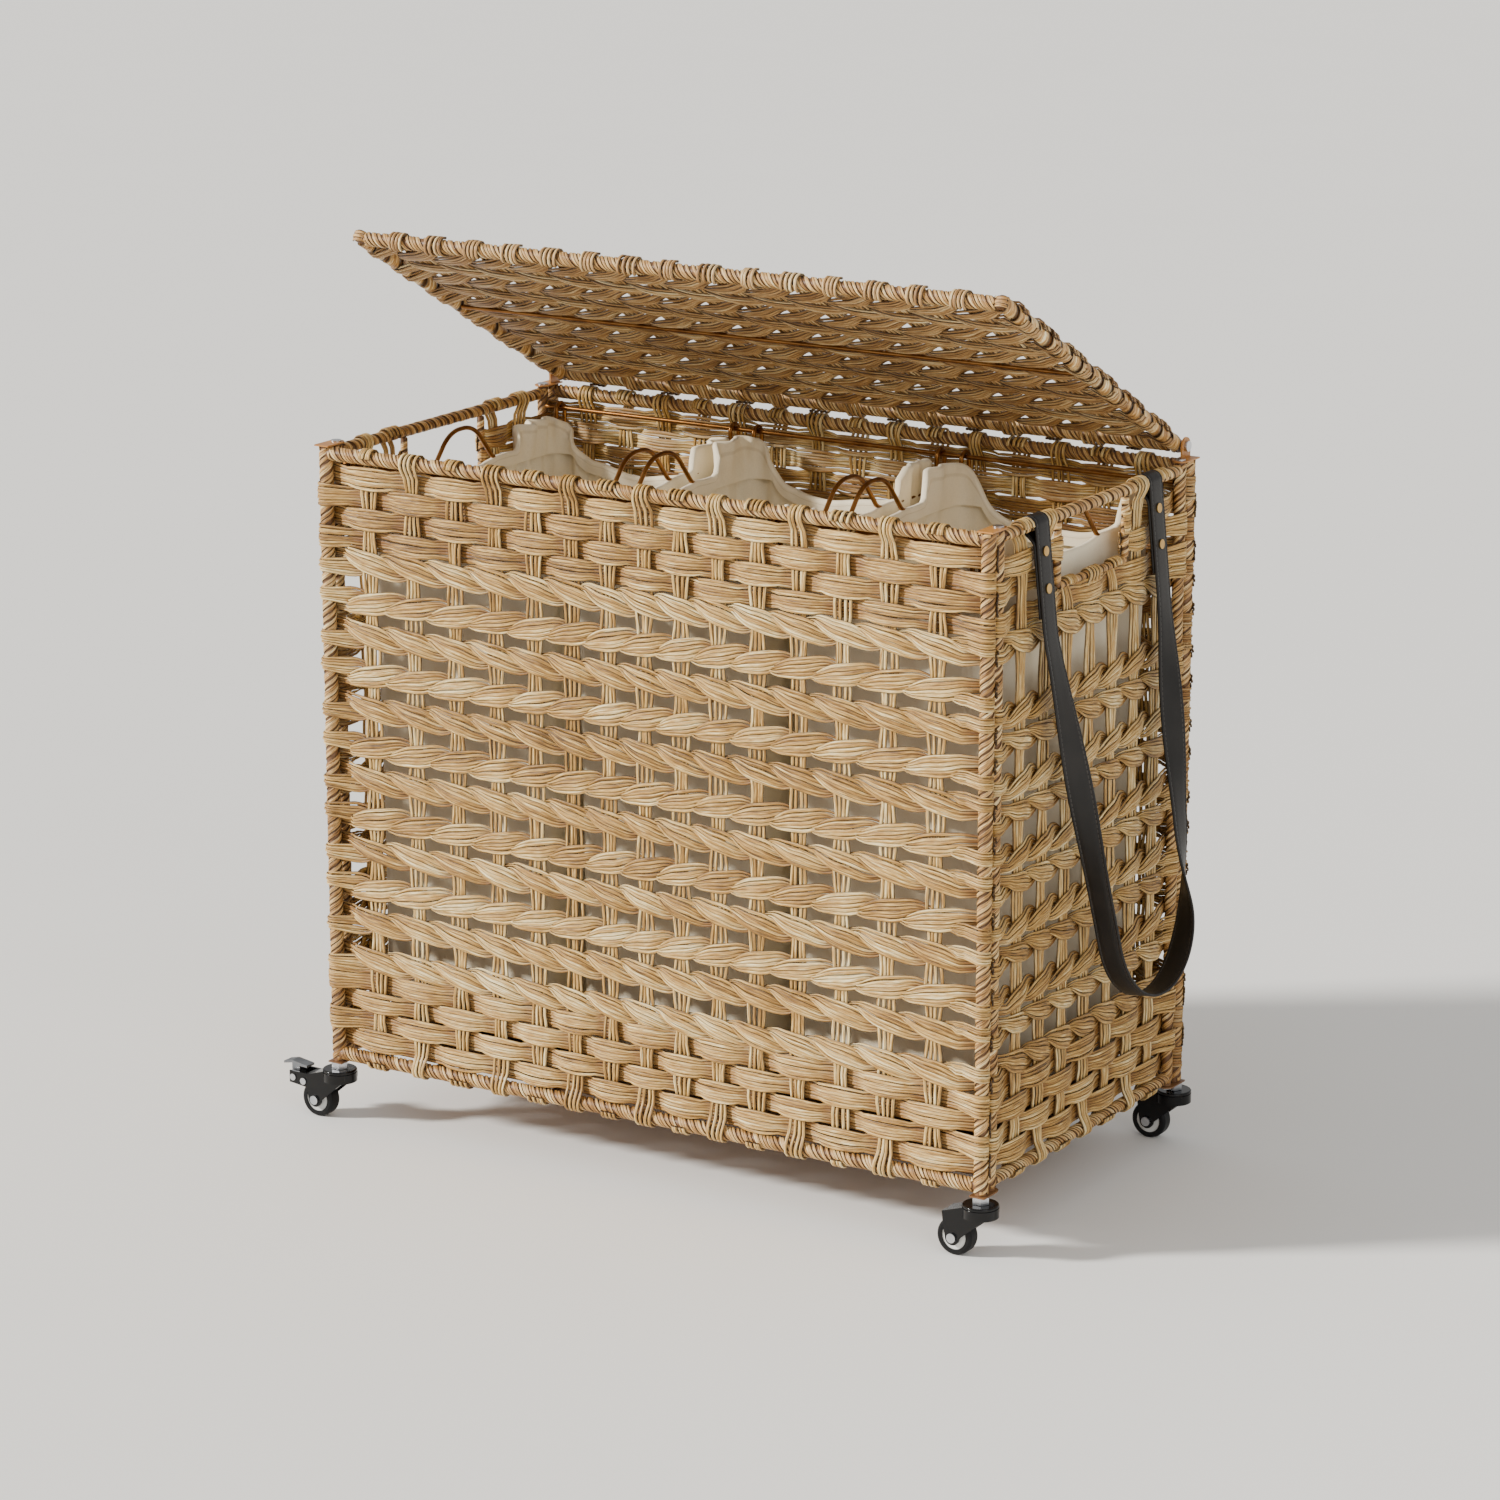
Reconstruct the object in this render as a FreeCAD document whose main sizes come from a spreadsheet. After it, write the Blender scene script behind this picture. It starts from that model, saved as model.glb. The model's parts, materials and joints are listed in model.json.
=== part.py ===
"""A wicker laundry sorter on wheels: a woven basket on four swivel casters, with a hinged woven lid,
three cloth bags that hang from two rods, and a leather strap to pull it by.

Millimetres. X runs along the long side, Y from the front to the back, Z up. The origin is on the floor
under the middle of the basket. Every woven panel, the lid too, is made in a frame of its own: X along
its rails from one post to the other, Y through it towards the inside of the basket, Z up its posts.
"""
import FreeCAD, Part
import math
import os
import re

import Sketcher
from FreeCAD import Placement, Rotation, Vector

SIZES = {
    # the basket
    "basket_wide": 640,      # between the posts of the front panel, centre to centre
    "basket_deep": 336,      # between the front and the back panel, centre to centre
    "panel_tall": 530,       # between the bottom and the top rail, centre to centre
    "rail_low": 61,          # height of the bottom rails above the floor
    "main_tube": 10,         # steel tube of the front and back panels and of the lid
    "side_tube": 8,          # steel tube of the side panels
    "tube_wall": 0.9,
    "wrap_thick": 1.25,      # cane wound round every tube
    "slip": 0.1,             # clearance between pieces that are wound or pushed onto each other
    "post_above": 0.2,       # posts rise this far above the cane on the top rail
    "post_below": 0.8,       # and reach this far below the cane on the bottom rail
    "side_gap": 0.4,         # between the weave's turns on a front post and on the side post behind it
    # the weave
    "stake_pitch": 40,       # aimed at; the real pitch divides the panel evenly
    "stake_wide": 14,
    "stake_thick": 2.4,
    "band_thick": 2.2,
    "weave_gap": 0.35,       # between a band and the stake that it passes
    "turn_thick": 1.2,       # where a stake or a band turns round a tube
    "plain_tall": 17,        # a plain row's height
    "plain_pitch": 17.8,
    "first_row": 16.7,       # from a rail's centre to the first plain row's centre
    "twine_tall": 8.8,       # each of the two bands that cross in a twined row
    "twine_gap": 0.4,
    "twine_first": 90,       # from a rail's centre to the single twined row
    "pair_room": 17.5,       # from the single twined rows to where the pairs of rows begin
    "pair_pitch": 61,        # aimed at, between pairs of twined rows
    "front_pair": 28,        # between the two rows of a pair, front and back
    "side_pair": 20,         # the same, on the side panels
    "side_room_low": 15,     # the side panels' room below their pairs
    "side_room_high": 40,    # and above them
    # the side handles
    "handle_wide": 114,
    "handle_drop": 58,       # from the rail's centre down to the handle frame's bar
    "handle_rod": 5,
    "handle_bend": 4,
    "flank_first": 27,       # from the rail's centre to the first short row beside the handle
    # the base
    "bar_tube": 8,
    "bar_inner": 100,        # the cross bars' distances from the middle
    "bar_outer": 220,
    "board_thick": 5,
    "board_gap_x": 10,       # from the side rails' centres to the board
    "board_gap_y": 10,
    # the lid
    "lid_inset": 12,         # how much narrower than the basket the lid is, on each side
    "lid_gap": 1.9,          # between the cane turned round the back rail and round the lid's tube
    "lid_angle": 28.5,       # how far the lid stands open
    "lid_row_pitch": 28,     # aimed at
    "lid_rod": 4,
    # the bag rods and bags
    "rod_wire": 4,
    "rod_drop": 11,          # below the top rail's centre
    "rod_inset": 16,         # inside the front and the back rail's centre
    "hook_wide": 13,
    "hook_tail": 18,
    "hanger_end": 20,        # from the side panels to the outermost hangers
    "hanger_pair": 24,       # between the hangers of neighbouring bags
    "hanger_bend": 9,        # the wire's bends: from the hook into the hem
    "arch_bend": 14,         # from the hem up to the arch
    "grip_bend": 34,         # at the top of the arch
    "arch_slope": 30,        # how much narrower each side of the arch is at its top
    "hem_drop": 40,          # from the top rail's centre down to the hem wire
    "arch_wide": 96,
    "arch_tall": 35,
    "liner_wall": 1.8,
    "liner_gap": 0.3,        # from a hanger's wire to the cloth
    "liner_above_base": 22,
    "liner_short": 6,        # how far the cloth stays inside the hooks, front and back
    "collar_tall": 9,
    # the strap
    "strap_side_gap": 1.2,   # between the strap's loops and the stakes beside them
    "strap_thick": 2.4,
    "strap_gap": 0.4,
    "strap_low": 414,        # down to the lowest point of the U
    "strap_bend": 68,        # the U's radius
    "strap_slant": 6,        # outwards from plumb, in degrees
    "strap_tail": 75,
    "strap_flat": 15,        # past the tail, before the twist begins
    "rivet_head": 8,
    "rivet_head_tall": 1,
    "rivet_shank": 3,
    "rivet_first": 22,
    "rivet_pitch": 30,
    # brackets and screws
    "plate_thick": 1.2,
    "plate_wide": 14,
    "lug_thick": 1.6,
    "lug_wide": 15,
    "lug_gap": 0.6,
    "bolt_wire": 5,
    "bolt_long": 22,
    "bolt_head": 9,
    "bolt_head_tall": 2.5,
    "screw_wire": 6,
    "screw_head": 9,
    "screw_long": 14,
    # the casters
    "wheel_size": 32,
    "tyre_wide": 13,
    "hub_size": 22,
    "hub_wide": 11,
    "axle_wire": 5,
    "axle_head": 8,
    "axle_head_tall": 2,
    "trail": 21,             # from the stem's axis to the wheel's
    "stem_wire": 8,
    "stem_in_post": 24,
    "stem_foot": 12,         # the stem's riveted foot under the fork
    "stem_foot_tall": 1.5,
    "stem_shown": 6.2,       # between the bottom plate's underside and the caster's head
    "nut_flats": 13,
    "head_size": 30,
    "cap_tall": 3,
    "head_groove": 0.8,      # round the head, under the cap's lip
    "head_round": 1.2,
    "crown_deep": 5,         # the fork's crown, below the cap
    "crown_room": 3.6,       # between the wheel and the crown
    "fork_foot": 13,         # the fork's width at the axle
    "fork_plate": 1.8,
    "fork_gap": 1.2,         # between the wheel and each side of the fork
    "turning_gap": 0.3,      # between pieces that turn on each other
    "brake_gap": 1.2,        # between the wheel and the rivet that carries the brake's spring
    "brake_angle": 51.3,     # of that rivet above the level through the axle, in degrees
    "pedal_back": 11,        # from that rivet back to the one that the pedal turns on
    "pedal_up": 2,           # and up
    "pedal_wide": 11,
    "pedal_arm": 8,
    "rivet_rod": 4,
    "rod_head": 6,
    "rod_head_tall": 1,
}

doc = FreeCAD.newDocument("laundry_sorter")
sheet = doc.addObject("Spreadsheet::Sheet", "Sizes")
for line, (alias, value) in enumerate(SIZES.items(), start=1):
    sheet.set(f"A{line}", alias)
    sheet.set(f"B{line}", str(value))
    sheet.setAlias(f"B{line}", alias)
doc.recompute()


def size(alias):
    """A driving size, read from the sheet."""
    return float(getattr(sheet, alias))


def cells(text):
    """An expression on the sheet, from a text that names its cells with a leading dot."""
    return re.sub(r"\.(?=[a-z])", "Sizes.", text)


PIECES = []
MADE = {}


def new_name(stem):
    MADE[stem] = MADE.get(stem, 0) + 1
    return f"{stem}_{MADE[stem]}"


def piece(feature, label, place=None):
    """Keeps an object as a piece of the model, under the label that names its file."""
    feature.Label = label
    if place is not None:
        feature.Placement = place
    PIECES.append(feature)
    return feature


# ---- sizes that follow from the driving ones ----
WIDE = size("basket_wide")
DEEP = size("basket_deep")
TALL = size("panel_tall")
RAIL_LOW = size("rail_low")
RAIL_TOP = RAIL_LOW + TALL
SLIP = size("slip")
MAIN_WRAPPED = size("main_tube") / 2 + size("wrap_thick")
SIDE_WRAPPED = size("side_tube") / 2 + size("wrap_thick")
TURN = size("turn_thick")
MAIN_TURNED = MAIN_WRAPPED + SLIP + TURN
SIDE_TURNED = SIDE_WRAPPED + SLIP + TURN
SETBACK = MAIN_TURNED + SIDE_TURNED + size("side_gap")
SIDE_SPAN = DEEP - 2 * SETBACK
SIDE_Y = SIDE_SPAN / 2
POST_TOP = RAIL_TOP + MAIN_WRAPPED + size("post_above")
POST_BOTTOM = RAIL_LOW - MAIN_WRAPPED - size("post_below")
LID_SPAN = WIDE - 2 * size("lid_inset")
HINGE_Z = RAIL_TOP + 2 * MAIN_TURNED + size("lid_gap")
HALF_X = WIDE / 2
HALF_Y = DEEP / 2

# where each panel's own frame stands
FRONT = Placement(Vector(-HALF_X, -HALF_Y, 0), Rotation(0, 0, 0))
BACK = Placement(Vector(HALF_X, HALF_Y, 0), Rotation(180, 0, 0))
RIGHT = Placement(Vector(HALF_X, -SIDE_Y, 0), Rotation(90, 0, 0))
LEFT = Placement(Vector(-HALF_X, SIDE_Y, 0), Rotation(-90, 0, 0))
LID = Placement(
    Vector(-LID_SPAN / 2, HALF_Y, HINGE_Z), Rotation(Vector(1, 0, 0), 90 - size("lid_angle"))
)


# the same sizes as expressions on the sheet, for the parametric pieces
WRAPPED_RADIUS = "(.main_tube / 2 + .wrap_thick)"
SETBACK_CELLS = "(.main_tube / 2 + .side_tube / 2 + 2 * (.wrap_thick + .slip + .turn_thick) + .side_gap)"
SIDE_SPAN_CELLS = f"(.basket_deep - 2 * {SETBACK_CELLS})"
POST_REACH = (f"({WRAPPED_RADIUS} + .post_below)", f"({WRAPPED_RADIUS} + .post_above)")


# ---- parametric building blocks ----
TURN_TO = {
    "x": Rotation(Vector(0, 1, 0), 90),
    "y": Rotation(Vector(1, 0, 0), -90),
    "z": Rotation(),
}


def round_bar(stem, diameter, length, at, axis):
    """A cylinder that starts at a place and runs along an axis; all are expressions on the sheet."""
    bar = doc.addObject("Part::Cylinder", new_name(stem))
    bar.setExpression("Radius", cells(f"({diameter}) / 2"))
    bar.setExpression("Height", cells(length))
    bar.Placement = Placement(Vector(), TURN_TO[axis])
    for letter, where in zip("xyz", at):
        bar.setExpression(f"Placement.Base.{letter}", cells(where))
    return bar


def cut(stem, base, tool):
    made = doc.addObject("Part::Cut", new_name(stem))
    made.Base = base
    made.Tool = tool
    return made


def several(stem, members):
    """Members that stay separate solids, as one object."""
    made = doc.addObject("Part::Compound", new_name(stem))
    made.Links = members
    return made


def joined(stem, members):
    made = doc.addObject("Part::MultiFuse", new_name(stem))
    made.Shapes = members
    return made


def pipe(stem, outer, inner, length, at, axis):
    """A round bar with a bore right through it."""
    return cut(
        stem,
        round_bar(stem, outer, length, at, axis),
        round_bar(stem, inner, length, at, axis),
    )


def plane_of(body, role):
    return next(item for item in body.Origin.OriginFeatures if item.Role == role)


def sketch_on(body, role, edges, offset=0.0):
    """A sketch on one of the body's own planes, moved along the plane's normal."""
    sketch = body.newObject("Sketcher::SketchObject", new_name("Sketch"))
    sketch.AttachmentSupport = [(plane_of(body, role), "")]
    sketch.MapMode = "FlatFace"
    sketch.AttachmentOffset = Placement(Vector(0, 0, offset), Rotation())
    for edge in edges:
        sketch.addGeometry(edge, False)
    return sketch


def circle_on(body, role, centre, diameter, offset=0.0):
    """A sketched circle whose diameter is an expression on the sheet."""
    circle = Part.Circle(Vector(centre[0], centre[1], 0), Vector(0, 0, 1), 1.0)
    sketch = sketch_on(body, role, [circle], offset)
    sketch.addConstraint(Sketcher.Constraint("Diameter", 0, 2.0))
    sketch.setExpression("Constraints[0]", cells(diameter))
    return sketch


def pad(body, sketch, length, reverse=False):
    feature = body.newObject("PartDesign::Pad", new_name("Pad"))
    feature.Profile = sketch
    feature.Reversed = reverse
    feature.setExpression("Length", cells(length))
    return feature


def pocket(body, sketch, length, reverse=False):
    feature = body.newObject("PartDesign::Pocket", new_name("Pocket"))
    feature.Profile = sketch
    feature.Reversed = reverse
    feature.setExpression("Length", cells(length))
    return feature


def round_rims(body, feature, wide, low, radius):
    """Rounds the circles of one diameter that lie above a height."""
    doc.recompute()
    rims = [
        f"Edge{index}"
        for index, edge in enumerate(feature.Shape.Edges, start=1)
        if abs(edge.BoundBox.XLength - wide) < 0.5 and edge.BoundBox.ZMin > low
    ]
    rounded = body.newObject("PartDesign::Fillet", new_name("Fillet"))
    rounded.Base = (feature, rims)
    rounded.setExpression("Radius", cells(radius))


def outline(points):
    """Straight sketch edges round a closed outline."""
    corners = [Vector(x, y, 0) for x, y in points]
    return [Part.LineSegment(a, b) for a, b in zip(corners, corners[1:] + corners[:1])]


def rounded_path(points, radii):
    """A wire through points with a tangent arc of its own radius at each inner one."""
    edges = []
    start = points[0]
    for before, corner, after, radius in zip(points, points[1:], points[2:], radii):
        back = (before - corner).normalize()
        ahead = (after - corner).normalize()
        half_turn = math.acos(max(-1.0, min(1.0, back.dot(ahead)))) / 2
        reach = radius / math.tan(half_turn)
        middle = corner + (back + ahead).normalize() * (radius / math.sin(half_turn) - radius)
        first = corner + back * reach
        last = corner + ahead * reach
        if (first - start).Length > 1e-6:
            edges.append(Part.LineSegment(start, first).toShape())
        edges.append(Part.Arc(first, middle, last).toShape())
        start = last
    if (points[-1] - start).Length > 1e-6:
        edges.append(Part.LineSegment(start, points[-1]).toShape())
    return Part.Wire(edges)


def wire_solid(path, diameter):
    """A round wire along a path."""
    edge = path.Edges[0]
    start = edge.valueAt(edge.FirstParameter)
    ahead = edge.tangentAt(edge.FirstParameter)
    section = Part.Wire([Part.Circle(start, ahead, diameter / 2).toShape()])
    return path.makePipeShell([section], True, False)


def feature_of(shape, label, place=None):
    """Keeps a shape made with geometry functions as a piece of the model."""
    made = doc.addObject("Part::Feature", new_name("Shape"))
    made.Shape = shape
    return piece(made, label, place)


# ---- tube frames and their cane wrapping ----
def panel_frame(label, place, span, tube, low, tall, post, bored=None):
    """Two posts with two rails between them, coped to the posts. post is how far the posts reach
    below the low rail and above the high one; bored cuts holes in the lid's rear corners."""
    below, above = post
    start = f"{low} - {below}"
    reach = f"{tall} + {below} + {above}"
    bore = f"{tube} - 2 * .tube_wall"
    posts = [pipe("Post", tube, bore, reach, (x, "0", start), "z") for x in ("0", span)]
    copes = [round_bar("Cope", tube, reach, (x, "0", start), "z") for x in ("0", span)]
    gaps = several("Gaps", copes)
    rails = [
        cut("Rail", pipe("Rail", tube, bore, span, ("0", "0", height), "x"), gaps)
        for height in (low, f"{low} + {tall}")
    ]
    tubes = posts + rails
    if bored is not None:
        tubes = [cut("Bored", tube_piece, bored) for tube_piece in tubes]
    return piece(several("Frame", tubes), label, place)


def panel_wrap(label, place, span, tube, low, tall, post, bored=None):
    """Sleeves of wound cane on the posts and rails of a panel."""
    below, above = post
    outer = f"{tube} + 2 * .wrap_thick"
    inner = f"{tube} + 2 * .slip"
    start = f"{low} - {below}"
    reach = f"{tall} + {below} + {above}"
    heights = (low, f"{low} + {tall}")
    holes = [round_bar("Hole", inner, span, ("0", "0", up), "x") for up in heights]
    copes = [round_bar("Cope", outer, reach, (x, "0", start), "z") for x in ("0", span)]
    rail_holes = several("Holes", holes)
    post_gaps = several("Gaps", copes)
    sleeves = [
        cut("Sleeve", pipe("Sleeve", outer, inner, reach, (x, "0", start), "z"), rail_holes)
        for x in ("0", span)
    ]
    sleeves += [
        cut("Sleeve", pipe("Sleeve", outer, inner, span, ("0", "0", up), "x"), post_gaps)
        for up in heights
    ]
    if bored is not None:
        sleeves = [cut("Bored", sleeve, bored) for sleeve in sleeves]
    return piece(several("Wrap", sleeves), label, place)


# ---- the weave ----
def gaps_along(span):
    """How many stake spaces a panel has; it has one stake fewer."""
    return max(2, 2 * round(span / size("stake_pitch") / 2))


def swing():
    """How far a band's middle passes in front of or behind the panel's middle."""
    return (size("stake_thick") + size("band_thick")) / 2 + size("weave_gap")


def wave_radius(pitch):
    """The radius of the arcs that carry a band round each stake."""
    return (pitch**2 / 4 + swing() ** 2) / (2 * swing())


def arc_piece(pitch, index, side, level, start, end):
    """The arc edge of a band at one stake, level away from the band's middle, between two places."""
    radius = wave_radius(pitch)
    middle = Vector(index * pitch, side * (swing() - radius), 0)

    def on_arc(along):
        across = along - middle.x
        way = Vector(across, side * math.sqrt(radius**2 - across**2), 0).normalize()
        return middle + way * (radius + side * level)

    return Part.Arc(on_arc(start), on_arc((start + end) / 2), on_arc(end)).toShape()


def band(pitch, start, end, phase, low, tall):
    """One band that waves between the stakes, from start to end along the panel."""
    half = size("band_thick") / 2
    spans = []
    index = round(start / pitch)
    while index * pitch - pitch / 2 < end - 1e-6:
        first = max(start, (index - 0.5) * pitch)
        last = min(end, (index + 0.5) * pitch)
        if last - first > 1e-6:
            spans.append((index, first, last))
        index += 1
    edges = {}
    for level in (half, -half):
        edges[level] = [
            arc_piece(pitch, at, 1 if (at + phase) % 2 else -1, level, first, last)
            for at, first, last in spans
        ]
    ends = []
    for last_one, vertex in ((0, 0), (-1, -1)):
        tips = [edges[level][last_one].Vertexes[vertex].Point for level in (half, -half)]
        ends.append(Part.LineSegment(*tips).toShape())
    profile = Part.Wire(Part.__sortEdges__(edges[half] + edges[-half] + ends))
    solid = Part.Face(profile).extrude(Vector(0, 0, tall))
    solid.translate(Vector(0, 0, low))
    return solid


def turn_round(centre, axis, inside, width):
    """A flat ring where cane turns round a tube."""
    start = centre - axis * (width / 2)
    ring = Part.makeCylinder(inside + TURN, width, start, axis)
    return ring.cut(Part.makeCylinder(inside, width, start, axis))


def stake(x, low, high, foot, head):
    """An upright stake that turns round a tube at each end; foot and head are the tubes' radii."""
    wide = size("stake_wide")
    thick = size("stake_thick")
    bottom = low + foot + SLIP + TURN / 2
    top = high - head - SLIP - TURN / 2
    bar = Part.makeBox(wide, thick, top - bottom, Vector(x - wide / 2, -thick / 2, bottom))
    along = Vector(1, 0, 0)
    turns = [
        turn_round(Vector(x, 0, low), along, foot + SLIP, wide),
        turn_round(Vector(x, 0, high), along, head + SLIP, wide),
    ]
    return bar.fuse(turns).removeSplitter().Solids[0]


def woven_band(pitch, ends, phase, middle, tall):
    """A band with its turns: ends are two (place, tube radius) along the panel."""
    low = middle - tall / 2
    (start, start_radius), (end, end_radius) = ends
    solid = band(
        pitch, start + start_radius + SLIP + TURN / 2, end - end_radius - SLIP - TURN / 2, phase, low, tall
    )
    turns = [
        turn_round(Vector(x, 0, middle), Vector(0, 0, 1), radius + SLIP, tall) for x, radius in ends
    ]
    return solid.fuse(turns).removeSplitter().Solids[0]


def twined_row(pitch, ends, phase, middle):
    """Two narrow bands, one above the other, that pass every stake on opposite sides."""
    tall = size("twine_tall")
    apart = (tall + size("twine_gap")) / 2
    return [
        woven_band(pitch, ends, phase, middle + apart, tall),
        woven_band(pitch, ends, phase + 1, middle - apart, tall),
    ]


def plain_heights(count):
    """Distances of the plain rows from a rail."""
    return [size("first_row") + index * size("plain_pitch") for index in range(count)]


def pair_middles(first, last):
    """The middles of the pairs of twined rows between two heights."""
    count = max(1, round((last - first) / size("pair_pitch")))
    pitch = (last - first) / count
    return [first + pitch * (index + 0.5) for index in range(count)]


def front_weavers(pitch, ends):
    """Four plain rows by each rail, a twined row next to them and pairs of twined rows between."""
    rows = []
    for index, away in enumerate(plain_heights(4)):
        rows.append(woven_band(pitch, ends, index, RAIL_TOP - away, size("plain_tall")))
        rows.append(woven_band(pitch, ends, index + 1, RAIL_LOW + away, size("plain_tall")))
    edge = size("twine_first")
    middles = [RAIL_TOP - edge, RAIL_LOW + edge]
    room = edge + size("pair_room")
    for middle in pair_middles(RAIL_LOW + room, RAIL_TOP - room):
        middles += [middle - size("front_pair") / 2, middle + size("front_pair") / 2]
    for index, middle in enumerate(middles):
        rows += twined_row(pitch, ends, index, middle)
    return Part.makeCompound(rows)


def side_weavers(pitch, ends, legs):
    """The same weave with two short rows on each side of the handle; legs are the handle frame's."""
    rows = []
    flanks = [(ends[0], legs[0]), (legs[1], ends[1])]
    heights = plain_heights(4)
    for index, away in enumerate(heights):
        rows.append(woven_band(pitch, ends, index, RAIL_LOW + away, size("plain_tall")))
    for index in (0, 1):
        middle = RAIL_TOP - size("flank_first") - index * size("plain_pitch")
        for flank in flanks:
            rows.append(woven_band(pitch, flank, index, middle, size("plain_tall")))
    rows.append(woven_band(pitch, ends, 1, RAIL_TOP - heights[3], size("plain_tall")))
    edge = size("twine_first")
    middles = [RAIL_TOP - edge, RAIL_LOW + edge]
    low = RAIL_LOW + edge + size("side_room_low")
    high = RAIL_TOP - edge - size("side_room_high")
    for middle in pair_middles(low, high):
        middles += [middle - size("side_pair") / 2, middle + size("side_pair") / 2]
    for index, middle in enumerate(middles):
        rows += twined_row(pitch, ends, index, middle)
    return Part.makeCompound(rows)


def long_panel(name, place):
    """The front or the back panel."""
    sizes = (".basket_wide", ".main_tube", ".rail_low", ".panel_tall", POST_REACH)
    panel_frame(f"{name}_frame", place, *sizes)
    panel_wrap(f"{name}_wrap", place, *sizes)
    spaces = gaps_along(WIDE)
    pitch = WIDE / spaces
    stakes = [
        stake(index * pitch, RAIL_LOW, RAIL_TOP, MAIN_WRAPPED, MAIN_WRAPPED) for index in range(1, spaces)
    ]
    feature_of(Part.makeCompound(stakes), f"{name}_stakes", place)
    ends = [(0, MAIN_WRAPPED), (WIDE, MAIN_WRAPPED)]
    feature_of(front_weavers(pitch, ends), f"{name}_weavers", place)


def handle_frame(label, place):
    """A rod bent to a U under the top rail, which frames the hand hole."""
    half = size("handle_wide") / 2
    middle = SIDE_SPAN / 2
    bar = RAIL_TOP - size("handle_drop")
    points = [
        Vector(middle - half, 0, RAIL_TOP),
        Vector(middle - half, 0, bar),
        Vector(middle + half, 0, bar),
        Vector(middle + half, 0, RAIL_TOP),
    ]
    bend = size("handle_bend")
    bent = wire_solid(rounded_path(points, [bend, bend]), size("handle_rod"))
    rail = Part.makeCylinder(SIDE_WRAPPED + SLIP, SIDE_SPAN, Vector(0, 0, RAIL_TOP), Vector(1, 0, 0))
    feature_of(bent.cut(rail), label, place)


def side_panel(name, place):
    """The left or the right panel, with its hand hole."""
    sizes = (SIDE_SPAN_CELLS, ".side_tube", ".rail_low", ".panel_tall", POST_REACH)
    panel_frame(f"{name}_frame", place, *sizes)
    panel_wrap(f"{name}_wrap", place, *sizes)
    handle_frame(f"{name}_handle_frame", place)
    spaces = gaps_along(SIDE_SPAN)
    pitch = SIDE_SPAN / spaces
    half = size("handle_wide") / 2
    rod = size("handle_rod") / 2
    stakes = []
    for index in range(1, spaces):
        x = index * pitch
        inside = abs(x - SIDE_SPAN / 2) < half
        high = RAIL_TOP - size("handle_drop") if inside else RAIL_TOP
        stakes.append(stake(x, RAIL_LOW, high, SIDE_WRAPPED, rod if inside else SIDE_WRAPPED))
    feature_of(Part.makeCompound(stakes), f"{name}_stakes", place)
    ends = [(0, SIDE_WRAPPED), (SIDE_SPAN, SIDE_WRAPPED)]
    legs = [(SIDE_SPAN / 2 - half, rod), (SIDE_SPAN / 2 + half, rod)]
    feature_of(side_weavers(pitch, ends, legs), f"{name}_weavers", place)


# ---- the base ----
def base():
    """Cross bars between the bottom rails, and a board that lies on them."""
    start = "-.basket_deep / 2 + .main_tube / 2 + .wrap_thick + .slip"
    length = ".basket_deep - .main_tube - 2 * .wrap_thick - 2 * .slip"
    bars = [
        pipe("Bar", ".bar_tube", ".bar_tube - 2 * .tube_wall", length, (x, start, ".rail_low"), "y")
        for x in ("-.bar_outer", "-.bar_inner", ".bar_inner", ".bar_outer")
    ]
    piece(several("Bars", bars), "base_bars")
    board = doc.addObject("Part::Box", "Board")
    board.setExpression("Length", cells(".basket_wide - 2 * .board_gap_x"))
    board.setExpression("Width", cells(".basket_deep - 2 * .board_gap_y"))
    board.setExpression("Height", cells(".board_thick"))
    board.setExpression("Placement.Base.x", cells("-.basket_wide / 2 + .board_gap_x"))
    board.setExpression("Placement.Base.y", cells("-.basket_deep / 2 + .board_gap_y"))
    board.setExpression("Placement.Base.z", cells(".rail_low + .bar_tube / 2 + .slip"))
    corner = ".side_tube + 2 * .wrap_thick + 2 * .turn_thick + 8 * .slip"
    notches = [
        round_bar("Notch", corner, "3 * .board_thick", (x, y, ".rail_low"), "z")
        for x in ("-.basket_wide / 2", ".basket_wide / 2")
        for y in (f"-{SIDE_SPAN_CELLS} / 2", f"{SIDE_SPAN_CELLS} / 2")
    ]
    piece(cut("Board", board, several("Notches", notches)), "base_board")


# ---- brackets and screws at the corners ----
def corner_plate(stem_hole):
    """A flat plate over a side post and the front post beside it, in the frame of the side post's
    axis, with the front post towards -Y. stem_hole says if the caster's stem passes through it."""
    body = doc.addObject("PartDesign::Body", new_name("Plate"))
    half = size("plate_wide") / 2
    near = -SETBACK - half
    edges = [
        Part.LineSegment(Vector(-half, 0, 0), Vector(-half, near, 0)),
        Part.LineSegment(Vector(-half, near, 0), Vector(half, near, 0)),
        Part.LineSegment(Vector(half, near, 0), Vector(half, 0, 0)),
        Part.ArcOfCircle(Part.Circle(Vector(), Vector(0, 0, 1), half), 0, math.pi),
    ]
    pad(body, sketch_on(body, "XY_Plane", edges), ".plate_thick")
    pocket(body, circle_on(body, "XY_Plane", (0, 0), ".screw_wire + 2 * .slip"), ".plate_thick", True)
    if stem_hole:
        stem = (0, -SETBACK)
        pocket(body, circle_on(body, "XY_Plane", stem, ".stem_wire + 2 * .slip"), ".plate_thick", True)
    return body


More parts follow.
